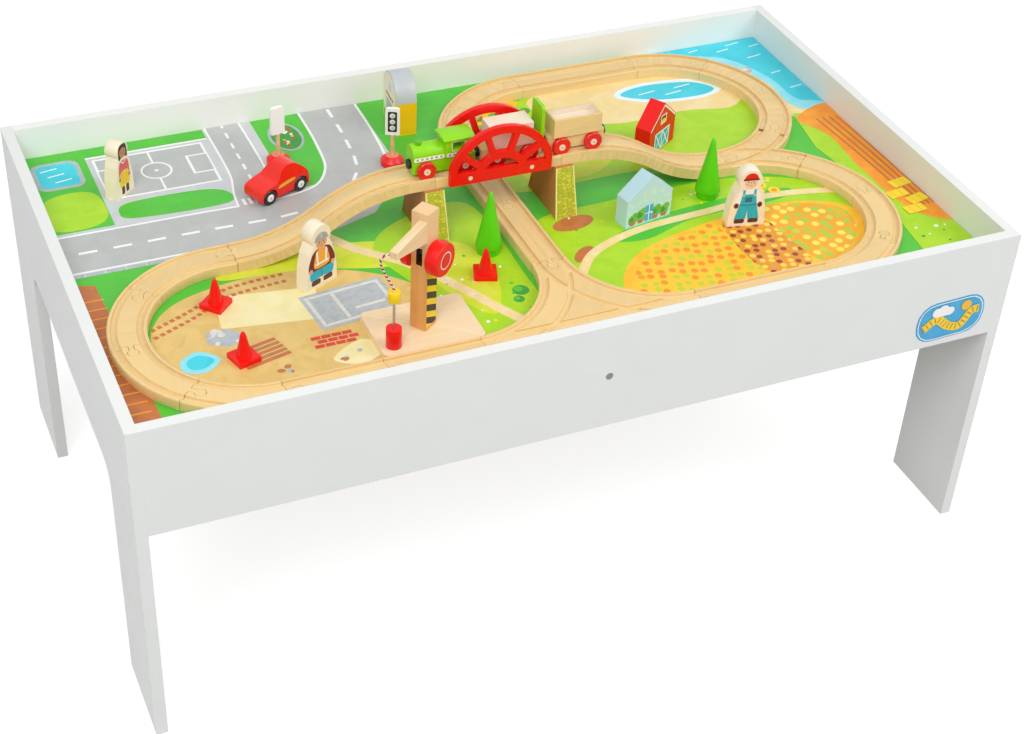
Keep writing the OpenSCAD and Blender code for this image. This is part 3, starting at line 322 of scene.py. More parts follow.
def bare_wood(name, pale, dark, figure=0.6, turn=0, loose=0.0, patch=None):
    """Sanded and waxed wood. turn lays the grain, in degrees, and loose turns it by chance on each separate
    piece, up to so many radians. patch is a box, low and high, and a colour laid inside it: pale wood, or
    painted light over shade."""
    finish, tree, shader, place = new_finish(name)
    island = add(tree, "ShaderNodeNewGeometry").outputs["Random Per Island"]
    laid = add(tree, "ShaderNodeMapping", {"Vector": place, "Rotation": (0, 0, math.radians(turn))})
    spun = add(tree, "ShaderNodeVectorRotate",
               {"Vector": laid.outputs["Vector"], "Angle": times(tree, island, loose)},
               rotation_type="Z_AXIS")
    shifted = vector_maths(tree, "ADD", spun.outputs["Vector"], times(tree, island, 7.3))["Vector"]
    grain = fill(tree, WOOD_GRAIN, {"Vector": shifted, "Pale": pale, "Dark": dark, "Figure": figure})
    handling = fill(tree, HANDLING, {"Vector": place})
    worn = fill(tree, EDGE_WEAR, {"Vector": place, "Width": 0.9 * MM})
    drift = times(tree, handling["Tone"], 0.4)
    colour = grain["Color"]
    if patch:
        low, high, other = patch
        within = inside(tree, place, low, high)
        colour = mixed(tree, times(tree, within, 0.85), colour, srgb(*other))
    colour = varied(tree, maths(tree, "ADD", times(tree, island, 0.6), drift), colour, 0.05)
    paint(tree, shader, mixed(tree, times(tree, worn["Wear"], 0.25), colour, dark))
    roughen(tree, shader, handling["Smudge"], 0.46, 0.58)
    bump(tree, shader, grain["Height"], 0.08 * MM, 0.35)
    return finish


def painted_wood(name, colour, gloss=0.32, worn=0.3, coat=0.1):
    """Satin lacquer over wood: the grain just shows in the skin, and edges are rubbed thin."""
    finish, tree, shader, place = new_finish(name)
    handling = fill(tree, HANDLING, {"Vector": place})
    wear = fill(tree, EDGE_WEAR, {"Vector": place, "Width": 0.7 * MM})
    grain = fill(tree, WOOD_GRAIN, {"Vector": place})
    body = varied(tree, handling["Tone"], srgb(*colour), 0.04)
    lit = mixed(tree, 0.22, srgb(*colour), srgb(*UNDER_PAINT))
    paint(tree, shader, mixed(tree, times(tree, wear["Wear"], worn), body, lit))
    roughen(tree, shader, handling["Smudge"], gloss, gloss + 0.14)
    bump(tree, shader, grain["Height"], 0.05 * MM, 0.2)
    shader.inputs["Specular IOR Level"].default_value = 0.35
    shader.inputs["Coat Weight"].default_value = coat
    shader.inputs["Coat Roughness"].default_value = 0.18
    return finish


def printed(name, colour, second=None, size=45.0, amount=0.6):
    """Ink on a smooth board: a second tint in soft patches, and the fine grit of the print."""
    finish, tree, shader, place = new_finish(name)
    handling = fill(tree, HANDLING, {"Vector": place})
    body = varied(tree, handling["Tone"], srgb(*colour), 0.05)
    if second:
        patches = step(tree, noise(tree, place, size, 4.0, 0.8), 0.42, 0.66)
        body = mixed(tree, times(tree, patches, amount), body, srgb(*second))
    specks = times(tree, step(tree, handling["Grit"], 0.55, 0.8), 0.08)
    paint(tree, shader, mixed(tree, specks, body, srgb(*PRINT_SPECK)))
    roughen(tree, shader, handling["Smudge"], 0.42, 0.54)
    bump(tree, shader, handling["Grit"], 0.02 * MM, 0.2)
    return finish


def steel(name, colour=(196, 197, 198), rough=0.28):
    """Plated metal with fine scratches that run every way."""
    finish, tree, shader, place = new_finish(name)
    handling = fill(tree, HANDLING, {"Vector": place})
    scratches = noise(tree, stretched(tree, place, (300, 4000, 900)), 1.0, 2.0, 2.0)
    paint(tree, shader, varied(tree, handling["Tone"], srgb(*colour), 0.06))
    roughen(tree, shader, scratches, rough, rough + 0.2)
    bump(tree, shader, scratches, 0.02 * MM, 0.2)
    shader.inputs["Metallic"].default_value = 1.0
    return finish


AXLE_R = 1.25 * MM


def turned_wheel(name, joint, rim, hub, hub_r):
    """Painted wheel with a pale hub, a grey axle end and the lines of turning, all round its own axle."""
    finish, tree, shader, place = new_finish(name)
    moved = vector_maths(tree, "SUBTRACT", place, Vector(joint["pos_m"]))["Vector"]
    along = vector_maths(tree, "DOT_PRODUCT", moved, Vector(joint["axis"]))["Value"]
    length = vector_maths(tree, "LENGTH", moved)["Value"]
    square = minus(tree, maths(tree, "POWER", length, 2.0), maths(tree, "POWER", along, 2.0))
    radius = maths(tree, "SQRT", maths(tree, "MAXIMUM", square, 0.0))
    handling = fill(tree, HANDLING, {"Vector": moved})
    wear = fill(tree, EDGE_WEAR, {"Vector": moved, "Width": 0.6 * MM})
    body = varied(tree, handling["Tone"], srgb(*rim), 0.06)
    rubbed = mixed(tree, 0.25, srgb(*rim), srgb(245, 235, 225))
    body = mixed(tree, times(tree, wear["Wear"], 0.3), body, rubbed)
    in_hub = minus(tree, 1.0, step(tree, radius, hub_r - 0.15 * MM, hub_r + 0.05 * MM))
    in_axle = minus(tree, 1.0, step(tree, radius, AXLE_R - 0.1 * MM, AXLE_R + 0.1 * MM))
    body = mixed(tree, in_hub, body, srgb(*hub))
    paint(tree, shader, mixed(tree, times(tree, in_axle, 0.75), body, srgb(150, 146, 142)))
    roughen(tree, shader, handling["Smudge"], 0.26, 0.42)
    rings = maths(tree, "SINE", times(tree, radius, 9000.0))
    bump(tree, shader, rings, 0.03 * MM, 0.15)
    shader.inputs["Coat Weight"].default_value = 0.2
    return finish


# The piers stand a reach each way from the bridge's middle and taper up from a half-width at the foot
PIER_MIDDLE = -13 * MM
PIER_REACH = 76.5 * MM
PIER_FOOT = 13.5 * MM
PIER_TAPER = 2.5 / 58
RUBBLE_WIDE, RUBBLE_HIGH = 6 * MM, 3.8 * MM


def stone_pier():
    """Pier with printed rubble and a pale border on its two broad faces; the other faces are dark brown
    grain, partly painted shade, and painted light turns them tan towards the front edge.
    """
    finish, tree, shader, place = new_finish("stone_pier")
    handling = fill(tree, HANDLING, {"Vector": place})
    parts = split(tree, place)
    flat = add(tree, "ShaderNodeCombineXYZ", {"X": parts["X"], "Y": parts["Z"]}).outputs["Vector"]
    courses = stretched(tree, flat, (1 / RUBBLE_WIDE, 1 / RUBBLE_HIGH, 0))
    stones, joints_between = [
        add(tree, "ShaderNodeTexVoronoi", {"Vector": courses, "Scale": 1.0, "Randomness": 0.75},
            voronoi_dimensions="2D", feature=kind).outputs for kind in ("F1", "DISTANCE_TO_EDGE")]
    chance = add(tree, "ShaderNodeSeparateColor", {"Color": stones["Color"]}).outputs["Red"]
    seam = step(tree, joints_between["Distance"], 0.02, 0.1)
    rubble = mixed(tree, chance, srgb(216, 208, 66), srgb(176, 182, 44))
    rubble = mixed(tree, seam, srgb(150, 152, 40), rubble)
    across = maths(tree, "ABSOLUTE", minus(tree, parts["X"], PIER_MIDDLE))
    across = maths(tree, "ABSOLUTE", minus(tree, across, PIER_REACH))
    rise = minus(tree, parts["Z"], BOARD_TOP)
    edge = maths(tree, "ADD", across, times(tree, rise, PIER_TAPER))
    border = step(tree, edge, PIER_FOOT - 1.9 * MM, PIER_FOOT - 1.3 * MM)
    rubble = mixed(tree, border, rubble, srgb(238, 232, 150))
    normal = add(tree, "ShaderNodeTexCoord").outputs["Normal"]
    facing = split(tree, normal)["Y"]
    broad = step(tree, maths(tree, "ABSOLUTE", facing), 0.5, 0.7)
    # painted shade: the dark brown of the side faces stands partly for the shade on them, partly for their
    # wood
    grain = fill(tree, WOOD_GRAIN, {"Vector": stretched(tree, place, (1.0, 1.0, 0.2)),
                                    "Pale": srgb(172, 100, 44), "Dark": srgb(128, 68, 24)})
    # painted light: the side faces turn tan towards the front edge, where more light falls
    near = times(tree, step(tree, parts["Y"], 4 * MM, -36 * MM), 0.55)
    board = mixed(tree, near, grain["Color"], srgb(206, 148, 84))
    colour = mixed(tree, broad, board, rubble)
    paint(tree, shader, varied(tree, handling["Tone"], colour, 0.06))
    roughen(tree, shader, handling["Smudge"], 0.4, 0.52)
    bump(tree, shader, seam, 0.06 * MM, 0.3)
    return finish


def crop_rows(name, turn, pitch, soil, first, second):
    """Field of planted rows: dots of two crops in lines over a soil tint."""
    finish, tree, shader, place = new_finish(name)
    handling = fill(tree, HANDLING, {"Vector": place})
    laid = add(tree, "ShaderNodeMapping", {"Vector": place, "Rotation": (0, 0, math.radians(turn))})
    laid = laid.outputs["Vector"]
    cells = add(tree, "ShaderNodeTexVoronoi",
                {"Vector": stretched(tree, laid, (1 / pitch, 1 / pitch, 0)), "Scale": 1.0,
                 "Randomness": 0.45}, voronoi_dimensions="2D").outputs
    plant = minus(tree, 1.0, step(tree, cells["Distance"], 0.3, 0.38))
    chance = add(tree, "ShaderNodeSeparateColor", {"Color": cells["Color"]}).outputs["Red"]
    crop = mixed(tree, step(tree, chance, 0.45, 0.55), srgb(*first), srgb(*second))
    body = mixed(tree, plant, varied(tree, handling["Tone"], srgb(*soil), 0.08), crop)
    paint(tree, shader, body)
    roughen(tree, shader, handling["Smudge"], 0.42, 0.54)
    bump(tree, shader, handling["Grit"], 0.02 * MM, 0.2)
    return finish


def twisted_string():
    """Two-colour twisted cord: the strands wind round the tube."""
    finish, tree, shader, place = new_finish("twisted_string")
    parts = split(tree, add(tree, "ShaderNodeUVMap").outputs["UV"])
    wound = maths(tree, "ADD", parts["X"], times(tree, parts["Y"], STRING_TWISTS))
    turns = maths(tree, "FRACT", wound)
    red = step(tree, maths(tree, "ABSOLUTE", minus(tree, turns, 0.5)), 0.24, 0.28)
    strands = maths(tree, "SINE", times(tree, turns, STRING_STRANDS * 2 * math.pi))
    fuzz = noise(tree, place, 3000.0)
    cloth = mixed(tree, red, srgb(240, 234, 226), srgb(186, 40, 44))
    paint(tree, shader, varied(tree, fuzz, cloth, 0.12))
    roughen(tree, shader, fuzz, 0.75, 0.95)
    bump(tree, shader, strands, 0.15 * MM, 0.6)
    return finish


def seen_directly(tree):
    """1 for the camera's own rays and for mirrored and clear ones, and 0 for the light that bounces about."""
    path = add(tree, "ShaderNodeLightPath").outputs
    return maths(tree, "MAXIMUM", path["Is Camera Ray"],
                 maths(tree, "MAXIMUM", path["Is Glossy Ray"], path["Is Transmission Ray"]))


def floor_finish():
    """Pale floor that keeps the shadow: a little light of its own, seen directly alone, lifts it to white."""
    finish, tree, shader, place = new_finish("studio_floor")
    paint(tree, shader, varied(tree, noise(tree, place, 3.0), srgb(*FLOOR_TONE), 0.004))
    shader.inputs["Roughness"].default_value = 0.8
    shader.inputs["Specular IOR Level"].default_value = 0.1
    shader.inputs["Emission Color"].default_value = WHITE
    feed(tree, shader.inputs["Emission Strength"], times(tree, seen_directly(tree), FLOOR_GLOW))
    return finish


# Outlines and flat prints

def curve_through(points, steps=8, closed=False):
    """Points of a smooth curve through the given ones."""
    count = len(points)
    made = []
    for i in range(count if closed else count - 1):
        places = [(i + k) % count if closed else min(max(i + k, 0), count - 1) for k in (-1, 0, 1, 2)]
        near = [points[place] for place in places]
        for k in range(steps):
            t = k / steps
            made.append(tuple(
                0.5 * (2 * b + (c - a) * t + (2 * a - 5 * b + 4 * c - d) * t * t
                       + (3 * b - a - 3 * c + d) * t ** 3)
                for a, b, c, d in zip(*near)))
    return made if closed else made + [tuple(points[-1])]


def blob(*points):
    """Rounded outline through the given points."""
    return curve_through(points, closed=True)


def disc(x, y, wide, high=None, turn=0, count=36):
    """Ellipse about its middle, by its half-widths."""
    high = wide if high is None else high
    made = []
    for i in range(count):
        a = 2 * math.pi * i / count
        u, v = wide * math.cos(a), high * math.sin(a)
        c, s = math.cos(math.radians(turn)), math.sin(math.radians(turn))
        made.append((x + c * u - s * v, y + s * u + c * v))
    return made


def slab(x, y, wide, high, turn=0, corner=0.0):
    """Rectangle about its middle, with rounded corners if corner is given."""
    u, v = wide / 2, high / 2
    flat = [(-u, -v), (u, -v), (u, v), (-u, v)]
    if corner:
        flat = []
        for su, sv, start in ((1, -1, -90), (1, 1, 0), (-1, 1, 90), (-1, -1, 180)):
            for k in range(5):
                a = math.radians(start + 22.5 * k)
                flat.append((su * (u - corner) + corner * math.cos(a),
                             sv * (v - corner) + corner * math.sin(a)))
    c, s = math.cos(math.radians(turn)), math.sin(math.radians(turn))
    return [(x + c * p - s * q, y + s * p + c * q) for p, q in flat]


def ribbon(route, width):
    """Four-sided pieces of a band that follows a route."""
    left, right = [], []
    for i, point in enumerate(route):
        before, after = route[max(i - 1, 0)], route[min(i + 1, len(route) - 1)]
        dx, dy = after[0] - before[0], after[1] - before[1]
        size = math.hypot(dx, dy) or 1.0
        nx, ny = -dy / size * width / 2, dx / size * width / 2
        left.append((point[0] + nx, point[1] + ny))
        right.append((point[0] - nx, point[1] - ny))
    return [(right[i], right[i + 1], left[i + 1], left[i]) for i in range(len(route) - 1)]


def dashes(route, width, mark, space):
    """Short marks along a route."""
    made, run = [], 0.0
    for a, b in zip(route, route[1:]):
        size = math.hypot(b[0] - a[0], b[1] - a[1])
        turn = math.degrees(math.atan2(b[1] - a[1], b[0] - a[0]))
        while run < size:
            share = run / size
            made.append(slab(a[0] + (b[0] - a[0]) * share, a[1] + (b[1] - a[1]) * share, mark, width, turn))
            run += mark + space
        run -= size
    return made


def clipped(outline, box):
    """The part of an outline inside an upright box."""
    sides = ((0, box[0], False), (1, box[1], False), (0, box[2], True), (1, box[3], True))
    for axis, limit, keep_low in sides:
        made = []
        for a, b in zip(outline[-1:] + outline[:-1], outline):
            a_in = (a[axis] <= limit) if keep_low else (a[axis] >= limit)
            b_in = (b[axis] <= limit) if keep_low else (b[axis] >= limit)
            if a_in != b_in:
                t = (limit - a[axis]) / (b[axis] - a[axis])
                made.append((a[0] + (b[0] - a[0]) * t, a[1] + (b[1] - a[1]) * t))
            if b_in:
                made.append(b)
        outline = made
        if not outline:
            break
    return outline


class Print:
    """Flat printed shapes on one face of a piece, in millimetres along that face.
    A shape that comes later lies a hair above those that it covers."""

    def __init__(self, name, body, origin, along, up, slot, box=None):
        self.name, self.body, self.slot, self.box = name, body, slot, box
        self.origin, self.along, self.up = Vector(origin), Vector(along).normalized(), Vector(up).normalized()
        self.out = self.along.cross(self.up)
        self.points, self.faces, self.inks, self.marks, self.laid = [], [], [], [], []

    def lay(self, ink, *outlines):
        """Prints outlines of one ink, each above all that it covers."""
        for outline in outlines:
            self.strip(ink, [outline])

    def strip(self, ink, outlines):
        """Prints outlines of one ink that meet edge to edge, all at one height."""
        outlines = [clipped(list(outline), self.box) if self.box else list(outline) for outline in outlines]
        outlines = [outline for outline in outlines if len(outline) > 2]
        spans = [(min(u for u, _ in o), min(v for _, v in o), max(u for u, _ in o), max(v for _, v in o))
                 for o in outlines]
        layer = 1 + max((height for low_u, low_v, high_u, high_v, height in self.laid for span in spans
                         if low_u < span[2] and span[0] < high_u and low_v < span[3] and span[1] < high_v),
                        default=0)
        if ink not in self.inks:
            self.inks.append(ink)
        lift = self.out * (HAIR * layer)
        for outline, span in zip(outlines, spans):
            first = len(self.points)
            self.points += [self.origin + self.along * (u * MM) + self.up * (v * MM) + lift
                            for u, v in outline]
            self.faces.append(list(range(first, len(self.points))))
            self.marks.append(self.inks.index(ink))
            self.laid.append((*span, layer))

    def finish(self):
        """Makes the piece, its faces turned outwards."""
        mesh = bpy.data.meshes.new(self.name)
        mesh.from_pydata(self.points, [], self.faces)
        for ink in self.inks:
            mesh.materials.append(INKS[ink])
        for face, mark in zip(mesh.polygons, self.marks):
            face.material_index = mark
        for face in mesh.polygons:
            if face.normal.dot(self.out) < 0:
                face.flip()
        piece = put(self.name, mesh)
        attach(piece, self.body)


# Hoist string

CRANE_SPOT = (-162, -181)
CRANE_PLACE = Vector((CRANE_SPOT[0] * MM, CRANE_SPOT[1] * MM, BOARD_TOP))
CRANE_TURN = 36
STRING_D = 2.4 * MM
STRING_SIDES = 12
STRING_STEPS = 4
STRING_TWISTS = 11.0
STRING_STRANDS = 4
# The string's route in the crane's own frame, in metres, from inside the jib's tip to inside the toggle
STRING_ROUTE = [
    (-0.06, -0.003, 0.128), (-0.0615, -0.001, 0.128), (-0.0632, 0.0012, 0.1276), (-0.0647, 0.0034, 0.1264),
    (-0.0658, 0.0054, 0.1242), (-0.066, 0.007, 0.121), (-0.0652, 0.0079, 0.1172), (-0.0638, 0.0084, 0.1132),
    (-0.062, 0.0086, 0.109), (-0.06, 0.0085, 0.1047), (-0.0579, 0.0082, 0.1002), (-0.0557, 0.0077, 0.0956),
    (-0.0535, 0.0071, 0.091), (-0.0514, 0.0063, 0.0864), (-0.0494, 0.0052, 0.0818), (-0.0478, 0.0044, 0.0774),
    (-0.047, 0.004, 0.0732), (-0.047, 0.004, 0.069),
]


def string_length(route):
    """Length of a route from point to point."""
    return sum((b - a).length for a, b in zip(route, route[1:]))


def string_mesh(line):
    """A round tube along a line, with its wraps laid out for the twist of the strands."""
    points, faces, wraps = [], [], []
    run, total, side = 0.0, string_length(line), Vector((0, 1, 0))
    for i, point in enumerate(line):
        ahead = (line[min(i + 1, len(line) - 1)] - line[max(i - 1, 0)]).normalized()
        side = (side - ahead * side.dot(ahead)).normalized()
        other = ahead.cross(side)
        if i:
            run += (point - line[i - 1]).length
        for k in range(STRING_SIDES):
            a = 2 * math.pi * k / STRING_SIDES
            points.append(point + (side * math.cos(a) + other * math.sin(a)) * STRING_D / 2)
        wraps.append(run / total)
    for ring in range(0, (len(line) - 1) * STRING_SIDES, STRING_SIDES):
        above = ring + STRING_SIDES
        for k in range(STRING_SIDES):
            n = (k + 1) % STRING_SIDES
            faces.append((ring + k, ring + n, above + n, above + k))
    faces += [tuple(reversed(range(STRING_SIDES))), tuple(range(len(points) - STRING_SIDES, len(points)))]
    mesh = bpy.data.meshes.new("hoist_cord")
    mesh.from_pydata(points, [], faces)
    unwrapped = mesh.uv_layers.new(name="wrap")
    for face in mesh.polygons:
        face.use_smooth = len(face.vertices) == 4
        corners = [mesh.loops[i].vertex_index for i in face.loop_indices]
        around = [v % STRING_SIDES for v in corners]
        for loop, v, k in zip(face.loop_indices, corners, around):
            past = STRING_SIDES if k == 0 and STRING_SIDES - 1 in around else 0
            unwrapped.data[loop].uv = ((k + past) / STRING_SIDES, wraps[v // STRING_SIDES])
    return mesh


def hang_string():
    """A twisted cord of fixed length from the jib's tip to the toggle, carried with the crane's head; on the
    toy the cord shortens as the winch lifts the toggle.
    """
    spin = Matrix.Rotation(math.radians(CRANE_TURN), 3, "Z")
    route = [CRANE_PLACE + spin @ Vector(point) for point in STRING_ROUTE]
    line = [Vector(point) for point in curve_through([tuple(point) for point in route], STRING_STEPS)]
    mesh = string_mesh(line)
    mesh.materials.append(twisted_string())
    piece = put("hoist_cord", mesh)
    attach(piece, "crane_head")
    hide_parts("hoist_string")
    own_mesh(piece)


# Finishes of the solids

BEECH = dict(pale=srgb(233, 203, 144), dark=srgb(219, 183, 117))
# Levels above the playboard, in millimetres
DECK_RISE = 88.8
DEPOT_EAVE = 41.6
SIGN_FOOT = 12
SIGN_PLATE = 38.95
# Floor of the train's loads in the scene, in metres
DECK_Z = BOARD_TOP + DECK_RISE * MM
# A distance past every side of the table, and a full turn
ANYWHERE = 2.0
FULL_TURN = 6.28
# Boxes on the truck and in the wagon, each with a paler colour: the pale wood of the block on the truck, and
# in the wagon painted light, a pale colour over the inside of the box where shade falls
BLOCK_ON_TRUCK = ((-ANYWHERE, -ANYWHERE, DECK_Z + 0.02 * MM), (ANYWHERE,) * 3, (243, 229, 210))
INSIDE_WAGON_PAINTED_LIGHT = ((56 * MM, -12.1 * MM, DECK_Z), (108.2 * MM, 8.1 * MM, ANYWHERE), (238, 225, 210))
# Slot for the string through the mast, as a box in the crane's own frame, coloured dark as painted shade, and
# where the mast grows paler
MAST_SLOT = ((-9.4 * MM, -3.6 * MM, 84.8 * MM), (0.2 * MM, 3.6 * MM, 105.2 * MM))
MAST_FADE = (88 * MM, 114 * MM)
# Colours of a wheel's rim and hub, and the hub's radius
CAR_WHEEL = ((18, 17, 18), (244, 242, 238), 4.6 * MM)
TRAIN_WHEEL = ((228, 12, 12), (246, 218, 196), 3.7 * MM)
# How far edges are rounded, which solids keep sharp edges, and which have flat faces split in many
BOARD_EDGE = 0.4 * MM
TOY_EDGE = 0.6 * MM
WELD_GAP = 0.002 * MM
FLAT_WITHIN = math.radians(0.4)
SHARP_FROM = math.radians(35)
BOARDS = {"end_panel_left", "end_panel_right", "front_apron", "back_apron", "playboard", "centre_rail",
          "cleats"}
LEFT_SHARP = {"hoist_string", "panel_bolts", "barrel_nuts", "rail_screws", "back_curves", "right_wye"}
SPLIT_FACED = {"end_panel_left", "end_panel_right", "left_curves", "right_curves", "front_wye",
               "bridge_piers", "bridge_side_front", "bridge_side_back", "loco_chassis", "truck_bed",
               "wagon_chassis"}


def depot_finish():
    """Yellow walls under a grey round roof."""
    finish, tree, shader, place = new_finish("depot_paint")
    handling = fill(tree, HANDLING, {"Vector": place})
    height = split(tree, place)["Z"]
    roof = above(tree, height, DEPOT_EAVE, 0.2)
    colour = mixed(tree, roof, srgb(250, 196, 10), srgb(192, 199, 202))
    paint(tree, shader, varied(tree, handling["Tone"], colour, 0.05))
    roughen(tree, shader, handling["Smudge"], 0.32, 0.46)
    bump(tree, shader, handling["Grit"], 0.03 * MM, 0.25)
    return finish


def mast_finish():
    """Stained wood with upright grain, paler above the winch, and near black in the slot for the string as
    painted shade.
    """
    finish, tree, shader, place = new_finish("mast_wood")
    handling = fill(tree, HANDLING, {"Vector": place})
    wear = fill(tree, EDGE_WEAR, {"Vector": place, "Width": 0.8 * MM})
    moved = vector_maths(tree, "SUBTRACT", place, CRANE_PLACE)["Vector"]
    own = add(tree, "ShaderNodeVectorRotate", {"Vector": moved, "Angle": -math.radians(CRANE_TURN)},
              rotation_type="Z_AXIS").outputs["Vector"]
    parts = split(tree, own)
    upright = add(tree, "ShaderNodeCombineXYZ", {"X": parts["Z"], "Y": parts["X"], "Z": parts["Y"]})
    grain = fill(tree, WOOD_GRAIN, {"Vector": upright.outputs["Vector"], "Pale": srgb(232, 174, 98),
                                    "Dark": srgb(212, 146, 72), "Figure": 0.5})
    top = step(tree, parts["Z"], *MAST_FADE)
    colour = mixed(tree, times(tree, top, 0.75), grain["Color"], srgb(240, 208, 162))
    # painted shade: near black inside the slot for the string, standing for the shade in it
    colour = mixed(tree, times(tree, inside(tree, own, *MAST_SLOT), 0.92), colour, srgb(34, 22, 14))
    colour = mixed(tree, times(tree, wear["Wear"], 0.25), colour, srgb(236, 204, 156))
    paint(tree, shader, varied(tree, handling["Tone"], colour, 0.04))
    roughen(tree, shader, handling["Smudge"], 0.46, 0.58)
    bump(tree, shader, grain["Height"], 0.08 * MM, 0.35)
    return finish


def sign_finish():
    """Red turned foot, pale post and white plate, by height."""
    finish, tree, shader, place = new_finish("sign_paint")
    handling = fill(tree, HANDLING, {"Vector": place})
    wear = fill(tree, EDGE_WEAR, {"Vector": place, "Width": 0.6 * MM})
    grain = fill(tree, WOOD_GRAIN, {"Vector": place, "Pale": srgb(236, 196, 150),
                                    "Dark": srgb(206, 150, 100)})
    height = split(tree, place)["Z"]
    above_foot = above(tree, height, SIGN_FOOT, 0.05)
    on_plate = above(tree, height, SIGN_PLATE, 0.05)
    colour = mixed(tree, above_foot, srgb(238, 10, 8), grain["Color"])
    colour = mixed(tree, on_plate, colour, srgb(252, 252, 250))
    colour = mixed(tree, times(tree, wear["Wear"], 0.25), colour, srgb(236, 214, 180))
    paint(tree, shader, varied(tree, handling["Tone"], colour, 0.04))
    roughen(tree, shader, handling["Smudge"], 0.3, 0.44)
    bump(tree, shader, grain["Height"], 0.04 * MM, 0.2)
    return finish


def soften(node, width, whole):
    """Rounds a solid's sharp edges a little, as sanding does; split flat faces can be made whole first."""
    weld = node.modifiers.new("join_faces", "WELD")
    weld.merge_threshold = WELD_GAP
    if whole:
        flat = node.modifiers.new("whole_faces", "DECIMATE")
        flat.decimate_type = "DISSOLVE"
        flat.angle_limit = FLAT_WITHIN
    bevel = node.modifiers.new("sanded_edges", "BEVEL")
    bevel.width = width
    bevel.segments = 2
    bevel.limit_method = "ANGLE"
    bevel.angle_limit = SHARP_FROM
    bevel.harden_normals = True


def solid_finishes():
    """Each finish with the solids that have it."""
    return {
        white_board("white_board", (232, 234, 232)): ["end_panel_left", "end_panel_right", "front_apron"],
        # painted light: the back apron is the same board as the front, painted lighter to stand for more
        # light on it
        white_board("back_board_painted_lighter", (243, 243, 240)): ["back_apron"],
        bare_wood("hidden_pine", srgb(232, 206, 160), srgb(206, 164, 108), 0.7): ["centre_rail", "cleats"],
        steel("plated_steel"): ["panel_bolts", "barrel_nuts", "load_pin"],
        steel("dull_steel", (132, 132, 134), 0.4): ["rail_screws", "winch_axle"],
        bare_wood("playboard_panel", srgb(226, 222, 214), srgb(210, 204, 192), 0.2): ["playboard"],
        bare_wood("track_beech", figure=0.24, loose=FULL_TURN, **BEECH):
            ["left_curves", "right_curves", "back_curves", "straights", "front_wye", "right_wye"],
        bare_wood("ramp_beech", figure=0.28, **BEECH): ["ramp_left", "ramp_right", "bridge_deck"],
        painted_wood("bright_red", (240, 6, 4)):
            ["bridge_side_front", "bridge_side_back", "winch_knobs", "crane_load", "cones"],
        painted_wood("rivet_cream", (240, 214, 190)): ["bridge_pins"],
        stone_pier(): ["bridge_piers"],
        painted_wood("engine_green", (142, 218, 14)):
            ["loco_chassis", "loco_boiler", "loco_cab", "loco_roof", "truck_end_board"],
        painted_wood("chimney_green", (96, 184, 18)): ["loco_chimney"],
        steel("magnet_dark", (58, 58, 62), 0.34): ["loco_magnets", "truck_magnets", "wagon_magnets"],
        bare_wood("block_beech", figure=0.3, **BEECH): ["wagon_chassis"],
        bare_wood("pale_beech", srgb(244, 220, 180), srgb(231, 200, 154), 0.35): ["crane_base"],
        bare_wood("truck_beech", figure=0.3, patch=BLOCK_ON_TRUCK, **BEECH): ["truck_bed"],
        # painted light: inside the wagon's box the wood is painted pale, over the shade that falls there
        bare_wood("box_beech", figure=0.3, patch=INSIDE_WAGON_PAINTED_LIGHT, **BEECH): ["wagon_box"],
        mast_finish(): ["crane_mast"],
        bare_wood("jib_beech", srgb(243, 216, 170), srgb(226, 186, 132), turn=-CRANE_TURN): ["crane_jib"],
        painted_wood("toggle_yellow", (246, 214, 30)): ["hoist_toggle"],
        painted_wood("car_red", (242, 28, 6), gloss=0.22, worn=0.2, coat=0.3): ["car_body"],
        painted_wood("tree_green", (88, 206, 4), gloss=0.38): ["trees"],
        painted_wood("house_blue", (186, 226, 238)): ["blue_house"],
        painted_wood("house_red", (238, 8, 6)): ["red_house"],
        depot_finish(): ["depot"],
        sign_finish(): ["signs"],
        painted_wood("cream_face", (248, 236, 208), gloss=0.36, worn=0.2): ["figures"],
    }


def wheel_finishes():
    """A finish for each pair of wheels, laid round the joint of its axle."""
    made = {}
    for name, joint in joints.items():
        if name.endswith("_axle_turn"):
            vehicle, end = name.split("_")[:2]
            wheels = f"{vehicle}_wheels_{end}"
            look = CAR_WHEEL if vehicle == "car" else TRAIN_WHEEL
            made[turned_wheel(wheels, joint, *look)] = [wheels]
    return made


def finish_solids():
    """Puts every finish on its solids and rounds their edges."""
    for finish, names in {**solid_finishes(), **wheel_finishes()}.items():
        for name in names:
            slots = nodes[name].data.materials
            slots.clear()
            slots.append(finish)
    for name, node in nodes.items():
        if name not in LEFT_SHARP:
            soften(node, BOARD_EDGE if name in BOARDS else TOY_EDGE, name in SPLIT_FACED)


# Prints

